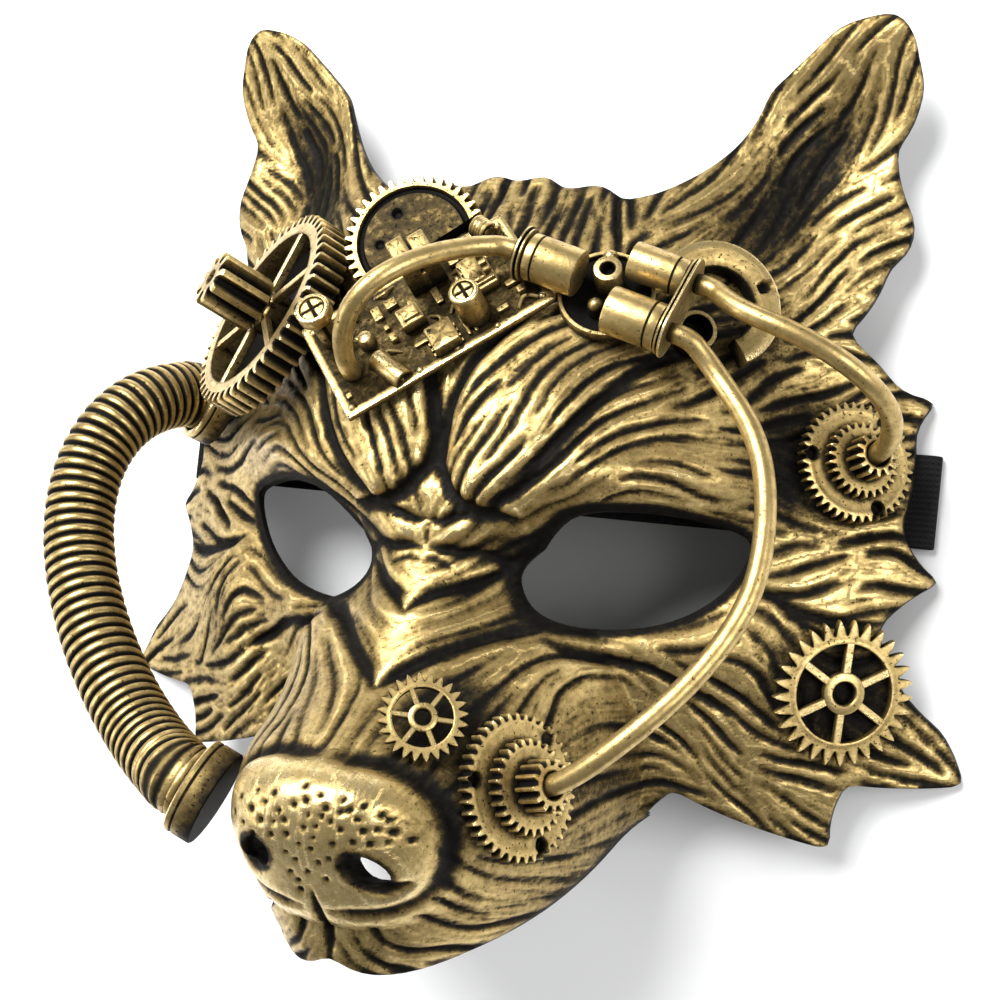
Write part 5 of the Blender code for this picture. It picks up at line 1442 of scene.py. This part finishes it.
def halfPipeAndCoil(top):
    # half a pipe with a band round its middle: outer and inner half circles joined at each station
    across, along, turn = board["pipe"]
    seat = lain(stepped(top, 0, across * board["length"], along * board["width"]), turn)
    rings, count = [], 20
    a = np.linspace(0, pi, count)
    half = np.stack((np.cos(a), np.sin(a)), axis=1)
    for z in (0.0, 0.25, 2.9, 5.9, 8.55, 8.8):
        outer = board["pipeOuter"] + (0.0 if z in (0.0, 8.8) else board["pipeBand"])
        loop = np.vstack((outer * half, board["pipeInner"] * half[::-1]))
        rings.append(np.column_stack((loop, np.full(2 * count, z))))
    tone = np.concatenate((0.4 + 0.5 * np.sin(a), np.full(count, 0.12)))
    points, faces, wear = loft(np.array(rings), tone[None], poles=False)
    k = np.arange(count - 1)
    faces += [np.stack((o + k, o + 1 + k, o + 2 * count - 2 - k, o + 2 * count - 1 - k), axis=1)
              for o in (0, 5 * 2 * count)]
    addPiece("halfPipe", placed((points, faces, wear), seat), gearGold)

    # wire wound round a core: (r cos a, r sin a, rise t)
    across, along, turn = board["coil"]
    seat = lain(stepped(top, 2.5, across * board["length"], along * board["width"]), turn)
    t = np.linspace(0, 1, 150)
    a = 2 * board["coilTurns"] * pi * t
    r = board["coilRadius"]
    path = np.stack((r * np.cos(a), r * np.sin(a), 0.5 + 3.8 * t), axis=1)
    coil = pipeAlong(path, np.full(len(t), board["coilWire"]), 0.5 + 0.35 * np.sin(a + 0.6), 8)
    core = turned(((0.02, 0.3), (1.5, 0.3), (1.6, 0.6), (1.6, 4.2), (1.5, 4.5), (0.02, 4.5)),
                  (0.1, 0.3, 0.2, 0.2, 0.5, 0.4), 24)
    addPiece("wireCoil", seated((coil, core), seat), gearGold)


# Valve

valve = {
    "height": 7.8, "baseRadius": 10.0, "inletAlong": -1.0, "inletEnd": -4.6, "barrel": 4.9,
    "barrelLength": 11.2, "upperAlong": 6.2, "upperRadius": 4.0, "lowerAlong": -6.0, "outletEnd": 15.8,
    "upperStart": 3.8, "lowerStart": 4.2, "flange": 1.4, "flangeGap": 0.3, "flangeRadius": 5.8,
    "domes": (("valveDomeFront", 0.4, -4.6), ("valveDomeBack", -1.6, 6.9)), "domeRadius": 1.6,
    "domeHeight": 4.2,
}


def barrelShape(radius, length, ringAt):
    # plain drum with rounded lips and a scribed line near one end
    lip = 0.5
    r, end = radius, length
    profile = ((0.02, 0), (r - lip, 0), (r - 0.12, 0.16), (r, lip), (r, ringAt - 0.3),
               (r - 0.28, ringAt - 0.12), (r - 0.28, ringAt + 0.12), (r, ringAt + 0.3),
               (r, end - lip), (r - 0.12, end - 0.16), (r - lip, end), (0.02, end))
    tones = (0.2, 0.45, 0.75, 0.74, 0.68, 0.2, 0.2, 0.68, 0.74, 0.85, 0.7, 0.35)
    return turned(profile, tones, 56)


def lyingOn(frameOf, start, along, height):
    # a frame whose axis lies along the valve, start millimetres from its middle
    turn, origin = stepped(frameOf, height, start, along)
    return turn @ np.array(Matrix.Rotation(radians(90), 3, "Y")), origin


def valvePieces():
    # base, three barrels, two flanges, a post and two domes, all turned but the shared flange
    foot = seatOf("valve_base", stands["valve"], shift=(0.6, 0.0))
    v, h = valve, valve["height"]
    r, high = v["baseRadius"], h - v["barrel"] - 0.3
    base = turned(((0.02, 0), (r - 0.2, 0), (r, 0.25), (r, high - 0.2), (r - 0.15, high),
                   (r - 0.75, high), (r - 1.0, high - 0.25), (r - 1.1, high * 0.6), (0.02, high * 0.6)),
                  (0.1, 0.1, 0.3, 0.6, 0.85, 0.7, 0.2, 0.05, 0.05), 64)
    addPiece("valveBase", shadedAtFoot(placed(base, stepped(foot, 0, 0.6)), 1.2, 0.2), gearGold)
    inlet, upper, lower = v["inletEnd"] - v["barrelLength"], v["upperStart"], v["lowerStart"]
    for name, radius, length, start, along, ringAt in (
            ("valveInlet", v["barrel"], v["barrelLength"], inlet, v["inletAlong"], 2.1),
            ("valveOutletUpper", v["upperRadius"], v["outletEnd"] - upper, upper, v["upperAlong"], 9.6),
            ("valveOutletLower", v["barrel"], v["outletEnd"] - lower, lower, v["lowerAlong"], 9.4)):
        barrel = barrelShape(radius, length, ringAt)
        addPiece(name, placed(barrel, lyingOn(foot, start, along, h)), tubeGold)

    # inlet flange: two discs with a black gap between
    r = v["flangeRadius"]
    discs = turned(((0.02, 0), (r - 0.2, 0), (r, 0.12), (r, 0.4), (r - 0.1, 0.5), (r - 1.0, 0.52),
                    (r - 1.0, 0.92), (r - 0.5, 0.94), (r - 0.35, 1.05), (r - 0.35, 1.3), (r - 0.5, 1.4),
                    (0.02, 1.4)), (0.3, 0.75, 0.95, 0.8, 0.4, 0.0, 0.0, 0.4, 0.85, 0.9, 0.5, 0.2), 56)
    start = inlet - v["flange"] - v["flangeGap"]
    addPiece("valveInletFlange", placed(discs, lyingOn(foot, start, v["inletAlong"], h)), tubeGold)

    # shared flange: a stadium of two plates with a black gap
    loop = []
    for along, radius, first in ((v["upperAlong"], v["upperRadius"] + 0.9, 0),
                                 (v["lowerAlong"], v["barrel"] + 0.6, pi)):
        a = np.linspace(first, first + pi, 22)
        loop.append(np.stack((radius * np.cos(a), along + radius * np.sin(a)), axis=1))
    shape = plate(np.vstack(loop),
                  ((2.4, 0.0), (0.45, 0.0), (0.35, 0.1), (0.35, 0.40), (0.5, 0.48), (1.3, 0.5),
                   (1.3, 0.86), (0.2, 0.88), (0.0, 0.96), (0.0, 1.3), (0.12, 1.4), (2.0, 1.4), (3.2, 1.4)),
                  (0.2, 0.45, 0.8, 0.8, 0.4, 0.0, 0.0, 0.45, 0.95, 0.95, 0.85, 0.66, 0.6))
    seat = lyingOn(foot, v["outletEnd"] + v["flangeGap"], 0, h)
    addPiece("valveFlange", placed(shape, seat), tubeGold)

    # hollow post with a plug deep in it, and the domes: a quarter circle on a short stem
    floor = high * 0.6 + 0.3
    post = ringOf(((1.5, floor), (3.0, floor), (3.0, 8.3), (2.85, 8.7), (2.6, 8.8), (1.75, 8.8),
                   (1.5, 8.5)), (0.0, 0.15, 0.7, 0.85, 0.85, 0.8, 0.15), 40)
    plug = turned(((0.02, floor + 0.05), (1.62, floor + 0.05), (1.62, 6.4), (0.02, 6.4)),
                  (0, 0, 0, 0), 24)
    addPiece("valvePost", seated((post, plug), stepped(foot, 0, 0.3, 2.0)), gearGold)
    r, top = v["domeRadius"], v["domeHeight"]
    a = np.linspace(0, pi / 2, 10)
    quarter = np.stack((r * np.cos(a), top - r + r * np.sin(a)), axis=1)
    profile = np.vstack(((0.02, 0.0), (r, 0.0), quarter[:-1], (0.02, top)))
    dome = turned(profile, np.linspace(0.1, 1.0, len(profile)), 24)
    for name, x, y in v["domes"]:
        addPiece(name, placed(dome, stepped(foot, floor, x, y)), gearGold)
    return foot


ring = {"outer": 13.5, "inner": 8.0, "arc": (-58, 142), "height": 4.8, "collar": 4.2,
        "hole": (30, 10.7, 1.6)}   # degrees, radius and depth of the hole in the cup


def ringPieces():
    # a cross section (r, z) swept over the arc, with a hole sunk in its upper face; a turned collar
    seat = seatOf("ring_cup", stands["ringCup"], ring["outer"])
    a = np.radians(np.linspace(*ring["arc"], 90))[:, None]
    h, outer, inner = ring["height"], ring["outer"], ring["inner"]
    section = np.array((
        (inner, 0.0), (outer - 0.3, 0), (outer, 0.4), (outer, h - 0.5), (outer - 0.15, h - 0.15),
        (outer - 0.5, h), (outer - 1.9, h), (outer - 2.4, h - 0.1), (outer - 3.6, h - 0.15),
        (inner + 1.3, h - 0.35), (inner + 0.3, h - 0.75), (inner, h - 1.3), (inner, h * 0.4)))
    tone = np.array((0.0, 0.1, 0.35, 0.7, 0.9, 0.85, 0.74, 0.66, 0.7, 0.72, 0.5, 0.2, 0.05))
    where, out, depth = ring["hole"]
    x, y = section[:, 0] * np.cos(a), section[:, 0] * np.sin(a)
    away = np.hypot(x - out * cos(radians(where)), y - out * sin(radians(where)))
    row = np.arange(len(section))
    hole = (1 - easyStep(away, 1.0, 1.5)) * (row >= 4) * (row <= 10)
    rings = np.stack((x, y, section[:, 1] - depth * hole), axis=-1)
    part = loft(rings, np.clip(tone - 0.8 * hole, 0, 1))
    addPiece("ringCup", shadedAtFoot(placed(part, seat), 1.6, 0.25), gearGold)

    c = ring["collar"]
    part = ringOf(((0.75 * c, 0), (c, 0), (c, h - 1.5), (c - 0.22, h - 1.35), (c - 0.22, h - 1.1),
                   (c, h - 0.95), (c, h - 0.25), (c - 0.2, h), (0.75 * c + 0.15, h), (0.75 * c, h - 0.2)),
                  (0.0, 0.15, 0.6, 0.2, 0.2, 0.7, 0.8, 0.95, 0.7, 0.1), 48)
    well = turned(((0.02, 0.1), (0.76 * c, 0.1), (0.76 * c, 0.6), (0.02, 0.6)), (0, 0, 0, 0), 32)
    seat = seatOf("ring_collar", stands["collar"])
    addPiece("ringCollar", shadedAtFoot(seated((part, well), seat), 1.2, 0.2), gearGold)


# Tubes and hose, on the routes of the solids

routes = {
    # across, along and height as shares of the face
    "board": ((0.0213, 0.4983, 0.6200), (-0.0184, 0.4772, 0.6905), (-0.0659, 0.4434, 0.7442),
              (-0.1017, 0.4155, 0.7779), (-0.1366, 0.3792, 0.7768), (-0.1638, 0.3421, 0.7516),
              (-0.1822, 0.3074, 0.7074)),
    "temple": ((0.5465, 0.4282, 0.5263), (0.6550, 0.4020, 0.5263), (0.7413, 0.3674, 0.5053),
               (0.8033, 0.3353, 0.4705), (0.8401, 0.2981, 0.4011), (0.8527, 0.2618, 0.3158)),
    "cheek": ((0.5145, 0.3294, 0.4958), (0.5843, 0.2720, 0.5274), (0.6395, 0.2086, 0.5568),
              (0.6686, 0.1410, 0.5832), (0.6822, 0.0507, 0.6105), (0.6812, -0.0357, 0.6368),
              (0.6628, -0.1131, 0.6632), (0.6386, -0.1774, 0.6874), (0.5959, -0.2607, 0.7168),
              (0.5514, -0.3321, 0.7474), (0.5058, -0.3905, 0.7705)),
    "hose": ((-0.4981, -0.5810, 0.7368), (-0.5785, -0.5167, 0.7053), (-0.6541, -0.4357, 0.6737),
             (-0.7258, -0.3452, 0.6421), (-0.7781, -0.2571, 0.6158), (-0.8178, -0.1845, 0.5947),
             (-0.8527, -0.0917, 0.5684), (-0.8731, -0.0119, 0.5474), (-0.8828, 0.0667, 0.5158),
             (-0.8760, 0.1326, 0.4737), (-0.8450, 0.1985, 0.4105)),
    "tube": 4.2, "tubeEase": (6.0, 3.0), "hoseDiameter": 15.8, "ribPitch": 3.1, "ribDepth": 1.1,
    "hoseEase": (8.0, 5.0), "cupLength": 6.0, "cupWall": 1.6, "cupGap": 0.6,
    "landing": (-0.388, -0.160),   # where the board's tube stands, as shares of the board
}


def routePlaces(name):
    # a route's shares of the face in millimetres
    across, along, height = np.array(routes[name]).T
    return list(np.stack((across * face["halfWidth"], alongMm(along), height * face["depth"]), axis=1))


def eased(path, sigma, held):
    # Gaussian mean along the path with its ends held, which takes the kinks out
    number = np.arange(len(path))
    step = np.linalg.norm(path[1] - path[0])
    weight = np.exp(-0.5 * ((number[:, None] - number) * step / sigma)**2)
    soft = weight @ path / weight.sum(axis=1)[:, None]
    share = easyStep(np.minimum(number, number[::-1]) * step, held * 0.3, held * 2.0)[:, None]
    return path * (1 - share) + soft * share


def tubePiece(name, route):
    # a plain tube, darker by exp(-(d / 1.2)^2) towards both ends, where it enters its sockets
    path = eased(smoothPath(route, 0.7), *routes["tubeEase"])
    reach = lengthAlong(path)
    radii, tones = np.full(len(path), routes["tube"] / 2), np.full(len(path), 0.70)
    for away in (reach, reach[-1] - reach):
        tones = tones - 0.45 * np.exp(-(away / 1.2)**2)
    radii[[0, -1]] -= 0.12
    tones[[0, -1]] = 0.2
    addPiece(name, pipeAlong(path, radii, tones, 32), tubeGold)


def tubePieces(valveFoot, boardTop, templeSeat, muzzleSeat):
    # each tube leaves the valve straight, follows its route and enters its seat straight
    v, straight = valve, 1.5 * routes["tube"]
    inletFace = v["inletEnd"] - v["barrelLength"] - v["flange"] - 2 * v["flangeGap"]
    outletFace = v["outletEnd"] + v["flange"] + 2 * v["flangeGap"]

    def at(frameOf, height, across=0.0, along=0.0):
        return stepped(frameOf, height, across, along)[1]
    leave = [at(valveFoot, v["height"], inletFace - s, v["inletAlong"]) for s in (0, straight)]
    across, along = routes["landing"]
    foot = stepped(boardTop, 0, across * board["length"], along * board["width"])
    tubePiece("tubeBoard", leave + routePlaces("board") + [at(foot, straight), foot[1]])
    for name, along, seat in (("temple", v["upperAlong"], templeSeat),
                              ("cheek", v["lowerAlong"], muzzleSeat)):
        leave = [at(valveFoot, v["height"], outletFace + s, along) for s in (0, straight)]
        enter = [at(seat, 0.3 + s * stacks["widths"][2]) for s in (1.5, 0.75, 0)]
        tubePiece("tube" + name.title(), leave + routePlaces(name) + enter)


def hosePieces():
    # hose radius R - depth (1 - |sin|^0.55) along its length, one wave a rib; the length counts
    # for more in a bend, so that the ribs stay even on its outer side
    radius, cup = routes["hoseDiameter"] / 2, routes["cupLength"]
    bore, floor = radius + routes["cupGap"], 0.4 * cup
    outer = bore + routes["cupWall"]
    shape = turned(((0.02, 0), (outer - 0.3, 0), (outer, 0.3), (outer, cup - 1.9),
                    (outer - 0.25, cup - 1.7), (outer - 0.25, cup - 1.4), (outer, cup - 1.2),
                    (outer, cup - 0.35), (outer - 0.35, cup), (bore + 0.3, cup), (bore, cup - 0.3),
                    (bore, floor), (0.02, floor)),
                   (0.0, 0.1, 0.3, 0.66, 0.2, 0.2, 0.66, 0.85, 0.95, 0.8, 0.3, 0.0, 0.0), 56)
    ends = []
    for name, stand in (("hoseCupLower", "hoseFoot"), ("hoseCupUpper", "hoseHead")):
        seat = seatOf(nodeOf(name), stands[stand])
        addPiece(name, shadedAtFoot(placed(shape, seat), 1.8, 0.3), gearGold)
        ends.append([stepped(seat, floor + 0.3 + s * cup)[1] for s in (0, 0.6, 1.2)])
    route = ends[0] + routePlaces("hose") + ends[1][::-1]
    path = eased(smoothPath(route, routes["ribPitch"] / 12), *routes["hoseEase"])
    step = np.linalg.norm(np.diff(path, axis=0), axis=1)
    bend = np.linalg.norm(np.diff(waysOf(path), axis=0), axis=1) / step
    reach = np.concatenate(((0,), np.cumsum(step * (1 + 0.8 * radius * bend))))
    ribs = round(reach[-1] / routes["ribPitch"])
    wave = np.abs(np.sin(pi * reach / reach[-1] * ribs))**0.55
    radii = radius - routes["ribDepth"] * (1 - wave)
    radii[[0, -1]] -= 0.4
    addPiece("breathingHose", pipeAlong(path, radii, 0.72 * easyStep(wave, 0.50, 1.0), 48), tubeGold)


# Head strap: flat elastic along the solid's path

strap = {"width": 20.0, "thick": 1.2, "along": 18.5, "tail": 20.0, "edge": 0.838, "reach": 92.5,
         "gap": 0.9, "cords": 5.2, "picks": 7.0}   # cords across and picks along, in radians a millimetre


def elasticBlack():
    # woven elastic: lengthwise cords and cross picks, offset like a plain weave
    make = Finish("woven black elastic", Specular_IOR_Level=0.15)
    strand = make.attribute("strand", "Vector")
    across, along = (make.node("ShaderNodeSeparateXYZ", {}, {"Vector": strand}, k) for k in (0, 1))
    cords = (across * strap["cords"]).maths("SINE")
    picks = (along * strap["picks"]).maths("SINE")
    weave = cords * 0.6 + cords * picks * 0.4
    fuzz = make.noise(make.spot(), 2200.0, 2.0)
    tone = weave * 0.25 + fuzz * 0.5 + 0.25
    return make.surface(
        Base_Color=make.ramp(tone, ((0.2, (0.002, 0.002, 0.0022)), (0.9, (0.014, 0.0135, 0.014)))),
        Roughness=0.9 - fuzz * 0.2,
        Normal=make.bump(weave * 0.5 + fuzz * 0.3, 0.0002, 0.7))


def headStrap():
    # up under each temple, round a half circle and flat across the open back; its section is a
    # flat oblong with round selvedges
    half, wide = strap["thick"] / 2, strap["width"] / 2
    span = np.linspace(-wide, wide, 5) + strap["along"]
    edge = strap["edge"] * face["halfWidth"]
    xs = np.linspace(edge - strap["tail"], edge, 5)
    room = np.array([backHeight(np.full(5, x), span).min() for x in xs]) - strap["gap"] - half
    upper = np.maximum.accumulate(room[::-1])[::-1]
    upper = np.minimum(upper, np.maximum(room, 3.4 * half))
    radius = (upper[-1] - half) / 2
    bend = np.linspace(pi / 2, -pi / 2, 17)
    fold = np.stack((strap["reach"] - half - radius + radius * np.cos(bend),
                     half + radius + radius * np.sin(bend)), axis=1)
    path = np.vstack((np.stack((xs, upper), axis=1), fold,
                      ((edge - strap["tail"], half), (40, half), (0, half))))
    path = np.vstack((path, path[-2::-1] * (-1, 1)))
    way = waysOf(path)
    side = np.stack((-way[:, 1], way[:, 0]), axis=1)
    flat = np.linspace(0.3 - wide, wide - 0.3, 24)
    y = np.concatenate((flat, (wide - 0.08, wide, wide - 0.08),
                        flat[::-1], (0.08 - wide, -wide, 0.08 - wide)))
    z = half * np.concatenate((np.ones(24), (0.7, 0, -0.7), -np.ones(24), (-0.7, 0, 0.7)))
    rings = np.empty((len(path), len(y), 3))
    rings[..., 0] = path[:, :1] + side[:, :1] * z
    rings[..., 1] = strap["along"] + y
    rings[..., 2] = np.maximum(path[:, 1:] + side[:, 1:] * z, 0.0)
    strand = np.zeros(rings.shape)   # across and along the elastic, for the weave
    strand[..., 0], strand[..., 1] = y, lengthAlong(path)[:, None]
    strand = strand.reshape(-1, 3)
    strand = np.vstack((strand, strand[:1], strand[-1:]))
    addPiece("headStrap", loft(rings, 0.5), elasticBlack(), extra={"strand": strand},
             sharp=60)


# Floor, light and camera

studio = {
    "sky": 0.20, "floor": (0.90, 0.905, 0.915), "floorPatch": (0.92, 0.922, 0.925), "floorGlow": 0.10,
    # painted shadow on the floor under the shell: centre in metres, 1 / reach in metres, its fade and its
    # colour
    "shade": (0.032, -0.012, 0.0), "shadeReach": (15.0, 16.0, 0.0), "shadeFade": (0.55, 1.15),
    "shaded": (0.36, 0.365, 0.35),
    # name, place in mm, size in m, watts
    "lamps": (("overhead softbox", (-260, 480, 780), 0.65, 17.5),
              ("right fill", (760, 60, 560), 0.5, 4.5), ("left rim", (-720, -160, 420), 0.5, 2.6)),
    # the photograph's camera: lens and place in mm, its axes
    "lens": 61.2, "place": (149.95, 0.50, 368.84),
    "right": (0.9143, 0.1058, -0.3910), "up": (-0.0874, 0.9941, 0.0645),
    "view": (-0.3955, 0.0248, -0.9181),
}


def paleFloor():
    # flat sheet three metres wide; under the shell a painted shadow makes its finish darker and stops its
    # glow
    span = np.linspace(-1500, 1500, 13)
    x, y = np.meshgrid(span, span)
    mesh = bpy.data.meshes.new("paleFloor")
    points = (np.stack((x, y, 0 * x), axis=-1).reshape(-1, 3) + rowShift) * 0.001
    mesh.from_pydata(points.tolist(), [], gridQuads(13, 13, False).tolist())
    make = Finish("pale floor", Roughness=0.75)
    spot = make.spot()
    away = make.node("ShaderNodeVectorMath", {"operation": "SUBTRACT"}, {0: spot, 1: studio["shade"]})
    away = make.stretched(away, studio["shadeReach"])
    away = make.node("ShaderNodeVectorMath", {"operation": "LENGTH"}, {0: away}, 1)
    lit = away.within(*studio["shadeFade"])
    patch = make.noise(spot, 6.0, 2.0)
    pale = make.ramp(patch, ((0.3, studio["floor"]), (0.7, studio["floorPatch"])))
    make.shader.inputs["Emission Strength"].default_value = studio["floorGlow"]
    mesh.materials.append(make.surface(
        Base_Color=make.node("ShaderNodeMix", {"data_type": "RGBA"},
                             {"Factor": lit, 6: (*studio["shaded"], 1), 7: pale}, 2),
        Emission_Color=make.ramp(lit, ((0.0, (0, 0, 0)), (1.0, (1, 1, 1))))))
    made = bpy.data.objects.new("paleFloor", mesh)
    bpy.context.scene.collection.objects.link(made)


def studioLight():
    # white sky and round soft lamps, each aimed at the mask
    world = bpy.data.worlds.new("white studio")
    world.use_nodes = True
    world.node_tree.nodes["Background"].inputs["Color"].default_value = (1, 1, 1, 1)
    world.node_tree.nodes["Background"].inputs["Strength"].default_value = studio["sky"]
    bpy.context.scene.world = world
    bpy.context.scene.view_settings.view_transform = "Standard"
    for name, place, size, watts in studio["lamps"]:
        lamp = bpy.data.lights.new(name, "AREA")
        lamp.shape, lamp.size, lamp.energy = "DISK", size, watts
        made = bpy.data.objects.new(name, lamp)
        made.location = Vector(place) * 0.001
        made.rotation_mode = "QUATERNION"
        made.rotation_quaternion = (-made.location).to_track_quat("-Z", "Y")
        bpy.context.scene.collection.objects.link(made)


def viewCamera():
    # camera of the photograph, fitted to points of the face
    data = bpy.data.cameras.new("photograph view")
    data.lens, data.sensor_width = studio["lens"], 36.0
    data.clip_start, data.clip_end = 0.01, 20
    made = bpy.data.objects.new("photograph view", data)
    right, up, ahead = (np.array(studio[k]) for k in ("right", "up", "view"))
    turn = Matrix(np.stack((right, up, -ahead), axis=1).tolist()).to_4x4()
    made.matrix_world = Matrix.Translation(Vector((np.array(studio["place"]) + rowShift) * 0.001)) @ turn
    bpy.context.scene.collection.objects.link(made)
    bpy.context.scene.camera = made


viewCamera()
studioLight()
paleFloor()
print("camera, light and floor done")
maskFace()
print("face done")
maskInside()
headStrap()
print("inside and strap done")
crownGear()
discGear()
templeSeat = gearStack("temple")
muzzleSeat = gearStack("muzzle")
spokedGear("cheek")
spokedGear("bridge")
print("gears done")
boardTop = circuitBoard()
halfPipeAndCoil(boardTop)
print("board done")
valveFoot = valvePieces()
ringPieces()
print("valve done")
tubePieces(valveFoot, boardTop, templeSeat, muzzleSeat)
hosePieces()
print("tubes and hose done")
